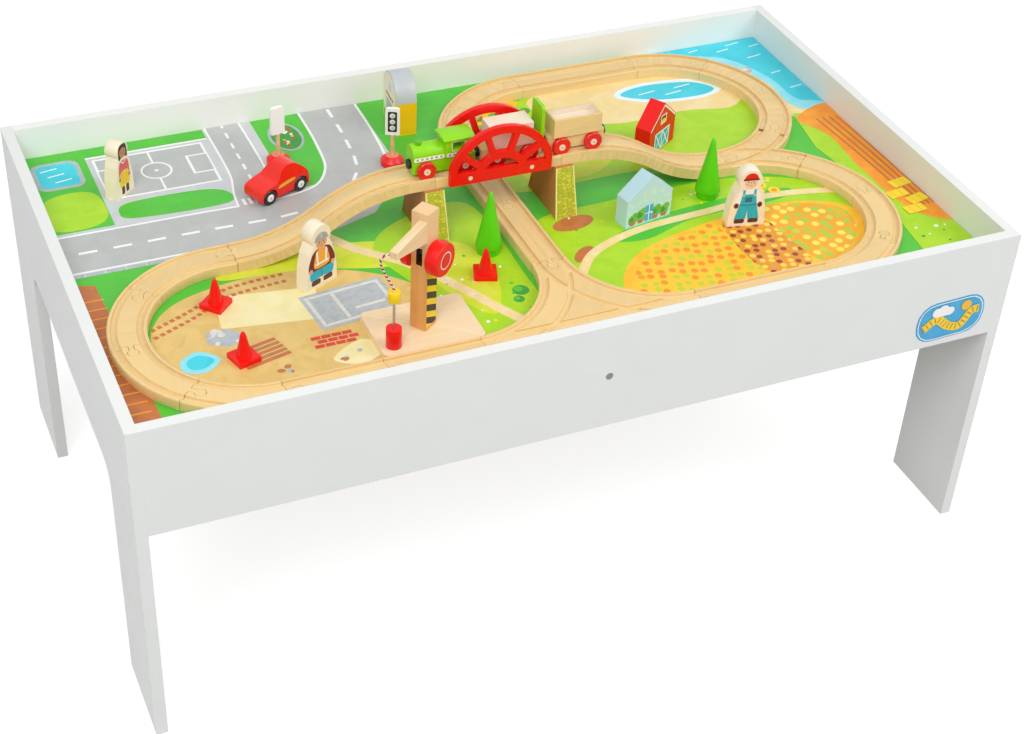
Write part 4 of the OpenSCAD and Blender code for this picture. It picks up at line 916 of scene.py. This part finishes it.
# Each ink's tint and, where it has them, a second tint, how fine its patches are and how strong
TINTS = {
    "lawn": ((80, 193, 50), (70, 186, 54)),
    "meadow": ((165, 215, 20), (182, 222, 38)),
    "sunlit": ((206, 222, 40), (224, 230, 80)),
    "road": ((186, 189, 187), (178, 182, 181), 70.0, 0.5),
    "paving": ((204, 208, 209), (194, 199, 201), 90.0, 0.5),
    "line": ((247, 248, 248),),
    "earth": ((226, 194, 118), (212, 176, 98)),
    "sand": ((242, 216, 150), (248, 230, 182)),
    "pale_earth": ((240, 228, 166), (246, 236, 190)),
    "clay": ((196, 116, 62), (180, 100, 50)),
    "brick": ((214, 66, 44), (196, 52, 38), 200.0),
    "stone": ((182, 190, 194), (162, 172, 178), 120.0),
    "pebble": ((222, 222, 214), (204, 204, 198), 160.0),
    "water": ((62, 210, 228), (44, 198, 222), 30.0),
    "shallows": ((136, 226, 240), (164, 234, 244), 50.0),
    "foam": ((232, 250, 253),),
    "hay": ((250, 188, 26), (252, 208, 66)),
    "straw": ((253, 224, 42), (246, 206, 30)),
    "amber": ((247, 150, 28), (250, 174, 52)),
    "plank": ((186, 124, 70), (164, 104, 54), 160.0),
    "bush": ((48, 150, 56), (66, 168, 54), 160.0),
    "black": ((32, 31, 33),),
    "hazard": ((248, 214, 20), (240, 200, 16)),
    "white": ((248, 248, 246),),
    "red": ((232, 14, 12), (218, 12, 14)),
    "cream": ((250, 238, 210),),
    "blush": ((252, 214, 210),),
    "glass": ((186, 226, 222), (206, 238, 236), 120.0),
    "sky": ((58, 166, 216), (78, 180, 224)),
    "leaves": ((112, 188, 70), (84, 164, 62), 220.0),
    "pink_plank": ((232, 172, 172), (222, 152, 156), 220.0),
    "teal": ((24, 178, 200), (40, 192, 208), 160.0),
    "navy": ((30, 112, 136),),
    "jacket": ((116, 24, 22), (96, 16, 18), 200.0),
    "vest": ((250, 172, 36),),
    "helmet": ((168, 164, 158), (188, 184, 176), 200.0),
    "boot": ((92, 50, 34), (74, 38, 28), 200.0),
    "blouse": ((224, 90, 96), (234, 116, 110), 200.0),
    "hair": ((52, 34, 28), (66, 44, 34), 200.0),
    "tan_skin": ((226, 172, 128),),
    "fair_skin": ((246, 206, 172),),
    "brown_skin": ((196, 136, 92),),
    "lip": ((190, 98, 88),),
    "pale_green": ((222, 244, 188),),
}
# Each crop's row direction, pitch, soil and two plants
CROPS = {
    "maize": (16, 12 * MM, (250, 198, 40), (240, 146, 34), (196, 206, 44)),
    "cabbages": (-14, 13 * MM, (238, 172, 34), (170, 204, 60), (250, 226, 90)),
    "berries": (16, 10 * MM, (228, 150, 40), (150, 60, 44), (252, 214, 80)),
}
INKS = {name: printed(name, *tints) for name, tints in TINTS.items()}
INKS.update({name: crop_rows(name, *rows) for name, rows in CROPS.items()})


def scatter(board, seed, box, count, sizes, inks):
    """Small spots by chance inside a box."""
    chance = random.Random(seed)
    for _ in range(count):
        x, y = chance.uniform(box[0], box[2]), chance.uniform(box[1], box[3])
        size = chance.uniform(*sizes)
        ink = chance.choice(inks)
        high, turn = size * chance.uniform(0.6, 1), chance.uniform(0, 180)
        board.lay(ink, disc(x, y, size, high, turn, 12))


def print_streets(board):
    """Back left: paving and lawns, a street with a bend and a side lane."""
    board.lay("paving", [(-477, 22), (-186, 22), (-132, 40), (-86, 96), (-62, 130), (-62, 273), (-477, 273)])
    board.lay("stone", *[slab(-468 + 21.5 * k, 25, 19.5, 5.6) for k in range(14)])
    board.lay("lawn", [(-477, 108), (-406, 108), (-406, 273), (-477, 273)])
    board.lay("meadow", blob((-470, 118), (-430, 112), (-408, 130), (-412, 176), (-440, 186), (-470, 172)))
    board.lay("lawn", blob((-396, 130), (-380, 114), (-282, 111), (-272, 132), (-300, 147), (-380, 147)))
    board.lay("line", [(-406, 250), (-264, 250), (-264, 253), (-406, 253)])
    board.lay("lawn", [(-406, 253), (-264, 253), (-264, 273), (-406, 273)])
    board.lay("lawn", [(-206, 112), (-160, 118), (-148, 170), (-146, 273), (-206, 273)])
    board.lay("lawn", [(-74, 20), (-40, 20), (-40, 273), (-74, 273)])
    lane = curve_through([(-252, 66), (-248, 120), (-240, 170), (-240, 284)])
    board.strip("line", ribbon(lane, 44))
    street = curve_through([(-482, 66), (-330, 66), (-224, 66), (-158, 84), (-122, 132), (-112, 200),
                            (-110, 284)])
    board.strip("line", ribbon(street, 74))
    board.strip("road", ribbon(lane, 39))
    board.strip("road", ribbon(street, 68))
    board.strip("line", dashes(street, 4, 20, 17))
    board.strip("line", dashes(curve_through([(-241, 130), (-240, 284)]), 3, 12, 12))
    board.lay("line", *[slab(-262 + 7 * k, 107, 4, 13) for k in range(4)])


def print_court(board):
    """Back left: a ball court."""
    court_x, court_y = -336, 202
    board.lay("line", slab(court_x, court_y, 128, 88))
    board.lay("road", slab(court_x, court_y, 122, 82))
    board.lay("line", slab(court_x, court_y, 2.5, 82))
    for s in (-1, 1):
        board.lay("line", slab(court_x + s * 50, court_y, 24, 40))
        board.lay("road", slab(court_x + s * 51.5, court_y, 21, 35))
    board.lay("line", disc(court_x, court_y, 18))
    board.lay("road", disc(court_x, court_y, 15.5))
    board.lay("line", disc(court_x, court_y, 2.4, count=16))


def print_gardens(board):
    """Back left: a pool and a flower bed."""
    pool = (-442, 226)
    board.lay("stone", slab(*pool, 54, 58, 0, 12))
    board.lay("water", slab(*pool, 44, 48, 0, 9))
    board.lay("foam", *[slab(-450 + 6 * k, 240 - 13 * k, 20, 2, 10, 0.9) for k in range(3)])
    flower_bed = (-176, 226)
    board.lay("stone", disc(*flower_bed, 20, 32))
    board.lay("bush", disc(*flower_bed, 17, 29))
    scatter(board, 5, (-188, 204, -164, 248), 18, (1.8, 3.0), ("red", "hay", "white"))


def print_site(board):
    """Front left: bare earth with a floor slab, planks, bricks, stones, a puddle and wheel marks in the loop,
    and a paved strip along the edge."""
    board.lay("earth", blob((-424, -120), (-390, -58), (-300, -34), (-210, -50), (-146, -96), (-120, -160),
                            (-168, -216), (-300, -222), (-392, -200)))
    board.lay("pale_earth", slab(-296, -92, 104, 56, -9, 4))
    board.lay("pale_earth", blob((-262, -196), (-226, -174), (-208, -196), (-236, -212)))
    floor_slab = (-214, -112)
    board.lay("stone", slab(*floor_slab, 92, 62, 6))
    board.lay("pebble", slab(*floor_slab, 84, 54, 6))
    board.lay("stone", slab(*floor_slab, 76, 46, 6))
    board.lay("pebble", *[slab(-226, -112, 4, 46, 6), slab(-196, -120, 34, 4, 6)])
    for k in range(5):
        board.lay("plank" if k % 2 else "clay", slab(-330 + 2 * k, -150 - 6.5 * k, 50, 5, 14))
    for row in range(3):
        for k in range(4):
            board.lay("brick", slab(-268 + 11 * k + 5 * (row % 2), -158 - 7 * row, 10, 5.6))
    board.lay("stone", blob((-372, -128), (-352, -112), (-336, -126), (-350, -142)))
    scatter(board, 11, (-368, -140, -338, -114), 12, (2.5, 5), ("pebble", "stone"))
    board.lay("shallows", blob((-404, -150), (-384, -140), (-366, -158), (-384, -174), (-404, -168)))
    board.lay("water", blob((-398, -152), (-384, -146), (-372, -158), (-386, -168), (-398, -164)))
    for offset in (0, 13):
        marks = [(-416, -104), (-372, -84), (-330, -60), (-262, -52)]
        route = curve_through([(x, y + offset) for x, y in marks])
        board.strip("clay", dashes(route, 5, 5, 3))
    scatter(board, 12, (-320, -214, -180, -190), 14, (2, 4.5), ("pebble", "stone", "plank"))
    board.lay("clay", [(-477, -273), (-440, -273), (-448, -120), (-452, 4), (-477, 12)])
    board.lay("amber", *[slab(-464, -262 + 16 * k, 30, 2) for k in range(16)])


def print_green(board):
    """Middle: rough grass with a footpath, bushes and mown patches."""
    board.lay("sunlit", blob((-330, -30), (-240, -40), (-150, -64), (-120, -30), (-190, -6), (-300, -8)))
    board.lay("meadow", blob((-160, -30), (-110, 18), (-30, 22), (-24, -120), (-34, -214), (-110, -222),
                             (-136, -120)))
    board.lay("sunlit", blob((-126, -60), (-70, -44), (-52, -110), (-80, -180), (-112, -130)))
    path = curve_through([(-208, 27), (-176, -22), (-130, -70), (-96, -128), (-60, -196), (-30, -222)])
    board.strip("sand", ribbon(path, 13))
    board.strip("pebble", dashes(path, 3, 3, 11))
    for x, y, r in ((-110, -44, 10), (-90, -40, 7), (-40, -150, 9), (-48, -164, 6)):
        board.lay("bush", disc(x, y, r))
        board.lay("lawn", disc(x - 0.25 * r, y + 0.3 * r, 0.55 * r))
    scatter(board, 21, (-140, -200, -40, -40), 34, (1.2, 2.4), ("white", "straw", "lawn"))


def print_farm(board):
    """Front right, in the loop: a meadow with bare patches and flowers, three crop fields and a drive."""
    board.lay("meadow", blob((24, -40), (120, -24), (280, -26), (376, -70), (396, -130), (360, -200),
                             (200, -222), (60, -222), (20, -140)))
    board.lay("lawn", blob((92, -96), (150, -72), (250, -62), (330, -66), (310, -84), (200, -88),
                           (130, -108)))
    board.lay("clay", disc(66, -52, 26, 13, 10))
    board.lay("clay", disc(52, -112, 18, 9, 40))
    board.lay("hay", blob((64, -186), (104, -132), (190, -104), (310, -92), (378, -122), (372, -172),
                          (320, -212), (180, -222), (90, -218)))
    board.lay("maize", blob((78, -184), (112, -138), (176, -114), (214, -110), (218, -210), (150, -215),
                            (98, -211)))
    board.lay("berries", blob((226, -208), (222, -110), (268, -103), (282, -204)))
    board.lay("cabbages", blob((290, -204), (277, -102), (320, -98), (368, -124), (362, -168), (326, -200)))
    drive = curve_through([(30, -150), (64, -112), (130, -88), (220, -80), (300, -74), (372, -86),
                           (404, -104)])
    board.strip("sand", ribbon(drive, 11))
    board.strip("pale_earth", dashes(drive, 2, 7, 9))
    scatter(board, 31, (60, -70, 330, -40), 30, (1.2, 2.6), ("white", "straw", "bush"))
    for x, y in ((296, -62), (314, -66), (304, -52)):
        board.lay("straw", disc(x, y, 7))
        board.lay("amber", disc(x, y, 3.4))


def print_shore(board):
    """Back right: an orchard, meadow and pond in the loop, and a lake with a sandy shore in the corner."""
    board.lay("hay", blob((26, 214), (40, 130), (90, 110), (120, 160), (116, 216)))
    board.lay("meadow", blob((24, 30), (150, 24), (300, 28), (386, 70), (396, 130), (350, 210), (130, 222),
                             (100, 150), (40, 110)))
    board.lay("sand", blob((130, 216), (140, 160), (210, 128), (300, 130), (360, 120), (386, 150), (350, 206),
                           (240, 222)))
    board.lay("sunlit", blob((60, 40), (130, 34), (170, 66), (110, 92), (62, 80)))
    board.lay("foam", blob((236, 182), (280, 158), (340, 152), (372, 168), (346, 198), (286, 208),
                           (244, 200)))
    board.lay("water", blob((244, 184), (284, 164), (338, 158), (362, 169), (340, 192), (288, 201),
                            (252, 196)))
    board.lay("foam", *[slab(x, y, 24, 2, 8, 0.9) for x, y in ((276, 184), (308, 174), (326, 186))])
    for row in range(3):
        for k in range(4):
            x, y = 46 + 20 * k + 4 * row, 148 + 22 * row
            board.lay("bush", disc(x, y, 7))
            board.lay("lawn", disc(x - 2, y + 2, 4))
            board.lay("red", disc(x + 2, y - 2, 1.6, count=10))
    board.lay("sand", blob((300, 290), (318, 240), (392, 214), (420, 150), (416, 90), (440, 60), (500, 70),
                           (500, 300)))
    board.lay("shallows", blob((320, 290), (336, 252), (404, 222), (432, 160), (432, 108), (450, 84),
                               (500, 92), (500, 300)))
    board.lay("water", blob((336, 290), (350, 262), (412, 232), (442, 172), (446, 120), (460, 104),
                            (500, 110), (500, 300)))
    waves = ((382, 262), (420, 252), (452, 226), (458, 180), (464, 140), (440, 264), (466, 252))
    for k, (x, y) in enumerate(waves):
        board.lay("foam", slab(x, y, 16 + 3 * (k % 3), 1.8, 10, 0.8))
    for x, y, r in ((408, 186, 13), (424, 196, 9), (420, 172, 7)):
        board.lay("stone", disc(x, y, r, 0.8 * r, 20))
        board.lay("pebble", disc(x - 0.2 * r, y + 0.2 * r, 0.6 * r, 0.4 * r, 20))


def print_edge_field(board):
    """Right edge: a ploughed strip with bales and flowers, and a lawn along the front."""
    board.lay("meadow", [(404, -273), (477, -273), (477, 70), (424, 80), (410, 0), (424, -120)])
    board.lay("amber", blob((424, 70), (440, 20), (436, -60), (446, -160), (500, -170), (500, 72)))
    for k in range(4):
        furrow = curve_through([(446 + 9 * k, 60), (452 + 8 * k, -40), (456 + 7 * k, -150)])
        board.lay("clay", *ribbon(furrow, 2.2))
    for x, y, turn in ((446, -120, 8), (462, -136, 14), (448, -154, 4), (462, -100, 10)):
        board.lay("straw", slab(x, y, 26, 15, turn, 2))
        board.lay("hay", *[slab(x - 5, y, 1.4, 15, turn), slab(x + 5, y, 1.4, 15, turn)])
    scatter(board, 41, (410, -262, 470, -180), 22, (1.4, 3), ("bush", "straw", "white"))
    board.lay("lawn", blob((150, -273), (260, -268), (400, -268), (400, -290), (150, -290)))


# Half the playboard each way, in millimetres, and half of its print
BOARD_U, BOARD_V = 477, 273
PRINT_U, PRINT_V = 476.9, 272.9


def print_playboard():
    """The whole playboard, from its ground colour up."""
    board = Print("playboard_print", "table", (0, 0, BOARD_TOP), (1, 0, 0), (0, 1, 0), "play_print",
                  box=(-PRINT_U, -PRINT_V, PRINT_U, PRINT_V))
    board.lay("lawn", slab(0, 0, 2 * BOARD_U, 2 * BOARD_V))
    print_streets(board)
    print_court(board)
    print_gardens(board)
    print_site(board)
    print_green(board)
    print_farm(board)
    print_shore(board)
    print_edge_field(board)
    board.finish()


# Where each printed toy stands: X, Y and rise on the playboard, turn about Z, and depth from middle to print
SPOTS = {
    "glasshouse": (143.8, -67.9, 0, 10, 10),
    "barn": (225.6, 67, 0, 33, 10),
    "depot": (-39.4, 211.6, 0, -5, 12.5),
    "signal": (-79.3, 129.9, 0, -24, 2),
    "way_sign": (-201.5, 173.5, 0, 190, 2),
    "builder": (-235.5, -64.9, 0, 26, 8),
    "farmer": (247.1, -112.1, 0, -11, 8),
    "walker": (-385.4, 169.8, 0, 43, 8),
    "mast": (*CRANE_SPOT, 0, CRANE_TURN, 9.5),
    "knob": (*CRANE_SPOT, 95, CRANE_TURN, 25),
    "car": (-222.06, 113.56, 0, 23, 15.5),
    "boiler": (-91, -2, DECK_RISE, 0, 11),
    "cab": (-58, -2, DECK_RISE, 0, 12),
}
# Outward and sideways directions of a block's upright sides
SIDES = {"front": ((0, -1, 0), (1, 0, 0)), "back": ((0, 1, 0), (-1, 0, 0)),
         "left": ((-1, 0, 0), (0, -1, 0)), "right": ((1, 0, 0), (0, 1, 0))}


def side_print(name, spot, side, body, slot):
    """A print on one upright side of a toy."""
    x, y, rise, turn, out = SPOTS[spot]
    normal, along = SIDES[side]
    spin = Matrix.Rotation(math.radians(turn), 3, "Z")
    middle = Vector((x * MM, y * MM, BOARD_TOP + rise * MM))
    face = middle + spin @ Vector(normal) * (out * MM)
    return Print(name, body, face, spin @ Vector(along), (0, 0, 1), slot)


def gable(wide, wall, top, inset):
    """Outline of a house's end wall, drawn in from its edges."""
    u = wide / 2 - inset
    peak = top - inset * 1.4
    return [(-u, inset), (u, inset), (u, wall - inset * 0.4), (0, peak), (-u, wall - inset * 0.4)]


def print_blue_house():
    """Glasshouse: white bars, panes and pot plants on both gables."""
    wide, wall, top = 62, 35, 60
    for side in ("front", "back"):
        face = side_print(f"glasshouse_{side}", "glasshouse", side, "table", "pale_blue")
        face.lay("white", gable(wide, wall, top, 1.2))
        for k in range(6):
            u = -25 + 10 * k
            for low, high in ((3, 12), (13.5, 23.5), (25, 33), (34.5, 44), (45.5, 55)):
                rise = top - 6 - (top - wall) * abs(abs(u) + 3.2) / (wide / 2)
                if rise > low + 2:
                    up = min(high, rise)
                    face.lay("glass", [(u - 4.2, low), (u + 4.2, low), (u + 4.2, up), (u - 4.2, up)])
        for u, v, r in ((-22, 9, 6), (-11, 12, 7), (9, 11, 6.5), (21, 10, 6)):
            face.lay("leaves", *[disc(u, v, r, r * 1.2), disc(u + 3, v + 5, r * 0.7)])
            face.lay("bush", disc(u - 1.5, v + 1, r * 0.5))
            face.lay("clay", [(u - 3, 2.6), (u + 3, 2.6), (u + 4, 7), (u - 4, 7)])
        face.lay("sky", slab(0, 13, 11, 20))
        face.lay("white", *[slab(0, 13, 1, 20), slab(0, 13, 11, 1), slab(4, 12, 1.4, 2.4)])
        face.finish()


def print_red_house():
    """Barn: planks, a braced double door and a loft hatch on both gables."""
    wide, wall, top = 60, 36, 62
    for side in ("front", "back"):
        face = side_print(f"barn_{side}", "barn", side, "table", "red_paint")
        face.lay("pink_plank", gable(wide, wall, top, 1.4))
        for k in range(9):
            u = -24 + 6 * k
            rise = top - 3.4 - (top - wall) * abs(u) / (wide / 2)
            face.lay("jacket", slab(u, (2 + rise) / 2, 0.7, rise - 2))
        eave = wide / 2 - 1.5
        for s in (-1, 1):
            face.strip("white", ribbon([(s * eave, wall - 1.5), (0, top - 3)], 2))
        face.lay("white", slab(0, 14, 34, 25))
        for s in (-1, 1):
            face.lay("teal", slab(s * 8, 13.6, 14, 22))
            face.lay("white", *(ribbon([(s * 2, 3.6), (s * 14, 23.6)], 1.6)
                                + ribbon([(s * 14, 3.6), (s * 2, 23.6)], 1.6)))
        face.lay("white", slab(0, 41, 13, 12))
        face.lay("jacket", slab(0, 41, 10, 9))
        face.lay("straw", blob((-4.5, 37), (4.5, 37), (3, 41), (-3, 41.5)))
        face.finish()


def print_depot():
    """Round-roofed shed: cream end walls with a roller door, warning stripes, a round window and bushes."""
    wall, radius = 42, 26
    bends = [a * math.pi / 16 for a in range(17)]
    arch = [(radius * math.cos(a), wall + radius * math.sin(a)) for a in bends]
    for side in ("left", "right"):
        face = side_print(f"depot_{side}", "depot", side, "table", "yellow_paint")
        face.lay("cream", [(-radius, 1.4), (radius, 1.4)] + arch)
        face.lay("white", slab(0, 18, 33, 33))
        face.lay("stone", slab(0, 17, 29, 31))
        face.lay("paving", *[slab(0, 4 + 4 * k, 29, 0.9) for k in range(8)])
        face.lay("hazard", slab(0, 38, 33, 4))
        for u in range(-15, 15, 6):
            face.lay("black", [(u, 36), (u + 3, 36), (u + 5, 40), (u + 2, 40)])
        face.lay("white", disc(0, 51, 8))
        face.lay("glass", disc(0, 51, 6.4))
        face.lay("white", *[slab(0, 51, 1, 12.8), slab(0, 51, 12.8, 1)])
        face.lay("leaves", *[disc(-20, 7, 4, 6), disc(20, 6, 4, 5)])
        face.finish()


def print_signs():
    """Three lights on one plate, and an arrow on the other."""
    lamp = side_print("signal_plate", "signal", "front", "table", "white_paint")
    lamp.lay("black", slab(0, 56, 10.5, 26, 0, 1.5))
    lamp.lay("white", *[disc(0, 56 + 7.8 * k, 3.1) for k in (-1, 0, 1)])
    lamp.lay("paving", *[disc(0.5, 55.5 + 7.8 * k, 2.1) for k in (-1, 0, 1)])
    lamp.finish()
    way = side_print("way_plate", "way_sign", "front", "table", "white_paint")
    way.lay("sky", disc(0, 60, 6.8))
    way.lay("white", [(-1.4, 55), (1.4, 55), (1.4, 60), (4, 60), (0, 65), (-4, 60), (-1.4, 60)])
    way.lay("stone", slab(0, 46, 11, 3.4, 0, 1))
    way.finish()


def dome(u, v, wide, high):
    """Upper half of an ellipse."""
    return [(u + wide * math.cos(a * math.pi / 14), v + high * math.sin(a * math.pi / 14)) for a in range(15)]


def calm_face(face, u, v, r, skin, hair):
    """A plain face of even proportions: eyes on the middle line, a short mouth, soft cheeks."""
    def at(across, up):
        return u + r * across, v + r * up

    face.lay(skin, disc(u, v, r * 0.78, r * 0.92))
    for s in (-1, 1):
        face.lay(hair, disc(*at(s * 0.3, 0.02), r * 0.075, r * 0.1, count=14))
        brow = [at(s * 0.18, 0.25), at(s * 0.3, 0.29), at(s * 0.42, 0.25)]
        face.lay(hair, *ribbon(brow, r * 0.05))
        face.lay("blouse", disc(*at(s * 0.42, -0.24), r * 0.11, r * 0.08, count=14))
    nose = [at(0, 0.02), at(0.07, -0.16), at(-0.02, -0.19)]
    face.lay(hair, *ribbon(nose, r * 0.05))
    mouth = curve_through([at(-0.2, -0.42), at(0, -0.46), at(0.2, -0.42)], 4)
    face.lay("lip", *ribbon(mouth, r * 0.07))


def print_builder(side):
    """Grey helmet, amber vest over a dark jacket, and teal trousers."""
    head = 54.5
    face = side_print(f"builder_{side}", "builder", side, "table", "cream")
    face.lay("teal", blob((-15, 11), (0, 12), (15, 11), (15.5, 24), (0, 26), (-15.5, 24)))
    face.lay("navy", slab(0, 17, 1.2, 12))
    face.lay("boot", *[slab(s * 8.5, 7.5, 13, 6.5, 0, 2.4) for s in (-1, 1)])
    face.lay("jacket", blob((-18, 24), (-15.5, 39), (-8, 47), (8, 47), (15.5, 39), (18, 24), (0, 22)))
    face.lay("vest", blob((-10, 25), (-9.5, 38), (-5.5, 46.5), (5.5, 46.5), (9.5, 38), (10, 25)))
    face.lay("white", *[slab(s * 6.2, 36, 2.4, 17, -4 * s) for s in (-1, 1)], slab(0, 29, 19, 2.2))
    face.lay("tan_skin", *[disc(s * 15.6, 23.5, 2.8) for s in (-1, 1)])
    if side == "front":
        calm_face(face, 0, head, 9.6, "tan_skin", "hair")
    else:
        face.lay("hair", disc(0, head, 7.5, 8.8))
    face.lay("helmet", dome(0, head + 3, 9, 8.4))
    face.lay("helmet", slab(0, head + 3.2, 20, 2.2, 0, 1))
    face.lay("paving", slab(0, head + 7.4, 1.6, 7))
    face.finish()


def print_farmer(side):
    """Red cap, white shirt and teal dungarees."""
    head = 57.7
    face = side_print(f"farmer_{side}", "farmer", side, "table", "cream")
    face.lay("white", blob((-14, 28), (-12, 42), (-6, 47), (6, 47), (12, 42), (14, 28), (0, 30)))
    face.lay("teal", [(-14.5, 9), (-1.2, 9), (0, 20), (1.2, 9), (14.5, 9), (9.6, 30), (8, 41), (-8, 41),
                      (-9.6, 30)])
    face.lay("teal", *[slab(-6.4, 43, 3, 8), slab(6.4, 43, 3, 8)])
    face.lay("navy", slab(0, 34, 8, 6.4, 0, 1))
    face.lay("hazard", *[disc(-6.4, 40, 1.2), disc(6.4, 40, 1.2)])
    face.strip("navy", ribbon([(-10, 28), (0, 27), (10, 28)], 1.2))
    face.lay("boot", *[slab(-8, 6.6, 12, 5.6, 0, 2), slab(8, 6.6, 12, 5.6, 0, 2)])
    for s in (-1, 1):
        face.lay("jacket", disc(s * 13.6, 27, 2.8, 3.4))
    if side == "front":
        calm_face(face, 0, head - 1, 9.6, "fair_skin", "boot")
    else:
        face.lay("hair", disc(0, head - 1, 7.5, 8.8))
    face.lay("red", dome(0, head + 2, 8.2, 8.4))
    face.lay("jacket", slab(0, head + 2.2, 18.6, 2.2, 0, 1))
    face.finish()


def print_walker(side):
    """Long dark hair, a pink blouse and a yellow skirt."""
    head = 55.8
    face = side_print(f"walker_{side}", "walker", side, "table", "cream")
    face.lay("hazard", blob((-9, 14), (0, 13), (9, 14), (7, 30), (0, 31), (-7, 30)))
    face.lay("amber", *[slab(-3, 21, 0.9, 13, 4), slab(3, 21, 0.9, 13, -4)])
    face.lay("boot", *[slab(-4, 8, 5.4, 10, 0, 2), slab(4, 8, 5.4, 10, 0, 2)])
    face.lay("blouse", blob((-9.5, 24), (-9, 38), (-5, 44), (5, 44), (9, 38), (9.5, 24), (6, 31), (-6, 31)))
    face.strip("white", ribbon(curve_through([(-4, 44), (0, 41), (4, 44)], 4), 1.2))
    for s in (-1, 1):
        face.lay("brown_skin", disc(s * 8.8, 23, 2, 2.3))
    face.lay("hair", blob((-7.4, head - 9), (-8, head), (-6, head + 7), (0, head + 8.6), (6, head + 7),
                          (8, head), (7.4, head - 9), (0, head - 6)))
    if side == "front":
        calm_face(face, 0, head - 1.2, 7.4, "brown_skin", "hair")
        face.lay("hair", blob((-5.6, head + 2), (-4, head + 6.4), (0, head + 7.4), (4, head + 6.4),
                              (5.6, head + 2), (0, head + 4.4)))
    face.finish()


def print_crane():
    """Warning stripes up the mast, and a ring on the near knob."""
    mast = side_print("mast_stripes", "mast", "front", "crane_head", "mast_wood")
    mast.box = (-8.8, 12, 8.8, 78)
    mast.lay("hazard", slab(0, 45, 17.6, 66))
    for k in range(5):
        high = 27 + 15.5 * k
        mast.lay("black", [(-12, high - 8), (12, high - 20), (12, high - 12), (-12, high)])
    mast.finish()
    knob = side_print("knob_ring", "knob", "front", "winch", "white_paint")
    knob.lay("blush", disc(0, 0, 9.6))
    knob.lay("red", disc(0, 0, 8.2))
    knob.finish()


def print_car():
    """A painted highlight along each side: a bright streak that stands for the gloss reflection there."""
    for side in ("front", "back"):
        painted_highlight = side_print(f"car_painted_highlight_{side}", "car", side, "car", "red_paint")
        # painted highlight: a hay-coloured streak standing for the gloss reflection on the car's side
        painted_highlight.lay("hay", blob((-10, 16.8), (2, 17.8), (13, 20.2), (12, 22.6), (2, 22.2), (-8, 20)))
        painted_highlight.finish()


def print_train():
    """White bands with green dots and a pale window frame on the locomotive's sides."""
    for side in ("front", "back"):
        boiler = side_print(f"boiler_line_{side}", "boiler", side, "locomotive", "loco_green")
        boiler.lay("white", slab(0, 2.6, 34, 4.8, 0, 1.2))
        boiler.lay("leaves", *[disc(-13.5 + 5.4 * k, 2.6, 1.3, count=14) for k in range(6)])
        boiler.finish()
        cab = side_print(f"cab_line_{side}", "cab", side, "locomotive", "loco_green")
        frame_route = [(-7.5, 7), (7.5, 7), (7.5, 18.2), (-7.5, 18.2), (-7.5, 7)]
        for a, b in zip(frame_route, frame_route[1:]):
            cab.strip("pale_green", ribbon([a, b], 0.9))
        cab.lay("white", slab(0, 2.6, 27, 4.8, 0, 1.2))
        cab.lay("leaves", *[disc(-10 + 5 * k, 2.6, 1.3, count=14) for k in range(5)])
        cab.finish()


BADGE_X, BADGE_Z = 419 * MM, 310 * MM


def print_badge():
    """A plain badge on the front apron: a blue plate with a yellow track bend, a cloud and a sun."""
    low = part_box("front_apron")[0]
    badge = Print("apron_badge", "table", (BADGE_X, low[1], BADGE_Z), (1, 0, 0), (0, 0, 1), "play_print")
    badge.lay("sky", slab(0, 0, 88, 52, 2, 22))
    rim = slab(0, 0, 83, 47, 2, 20)
    badge.lay("white", *ribbon(rim + rim[:1], 1.2))
    bend = curve_through([(-34, -8), (-18, 2), (-2, -9), (14, -12), (26, 4), (36, 6)])
    badge.strip("hazard", ribbon(bend, 11))
    badge.strip("plank", dashes(bend, 8, 1.4, 4.2))
    badge.lay("white", disc(-20, 12, 6), disc(-12, 13, 7.5), disc(-3, 11.5, 5.4),
              slab(-11.5, 8.6, 22, 5, 0, 2.4))
    badge.lay("hay", disc(18, 14, 6.5))
    badge.finish()


# The scene

def add_floor():
    """A wide plain floor under the feet."""
    mesh = bpy.data.meshes.new("studio_floor")
    corners = [(x * FLOOR_HALF, y * FLOOR_HALF, 0) for x, y in ((-1, -1), (1, -1), (1, 1), (-1, 1))]
    mesh.from_pydata(corners, [], [(0, 1, 2, 3)])
    mesh.materials.append(floor_finish())
    floor = put("studio_floor", mesh)


def light_studio():
    """A pale sky, seen as white, and two soft lamps in front of the table."""
    world = bpy.data.worlds.new("studio")
    bpy.context.scene.world = world
    world.use_nodes = True
    tree = world.node_tree
    sky = tree.nodes["Background"]
    sky.inputs["Color"].default_value = WHITE
    level = add(tree, "ShaderNodeMapRange",
                {"Value": seen_directly(tree), "To Min": SKY_LIGHT, "To Max": 1.0})
    feed(tree, sky.inputs["Strength"], level.outputs["Result"])
    add_lamp("key", place=(-1.4, -1.7, 2.9), size=2.0, power=54)
    add_lamp("fill", place=(2.0, -1.6, 2.6), size=2.4, power=43)
    bpy.context.scene.view_settings.view_transform = "Standard"


set_camera()
hang_string()
finish_solids()
print_playboard()
print_blue_house()
print_red_house()
print_depot()
print_signs()
for side in ("front", "back"):
    print_builder(side)
    print_farmer(side)
    print_walker(side)
print_crane()
print_train()
print_car()
print_badge()
add_floor()
light_studio()
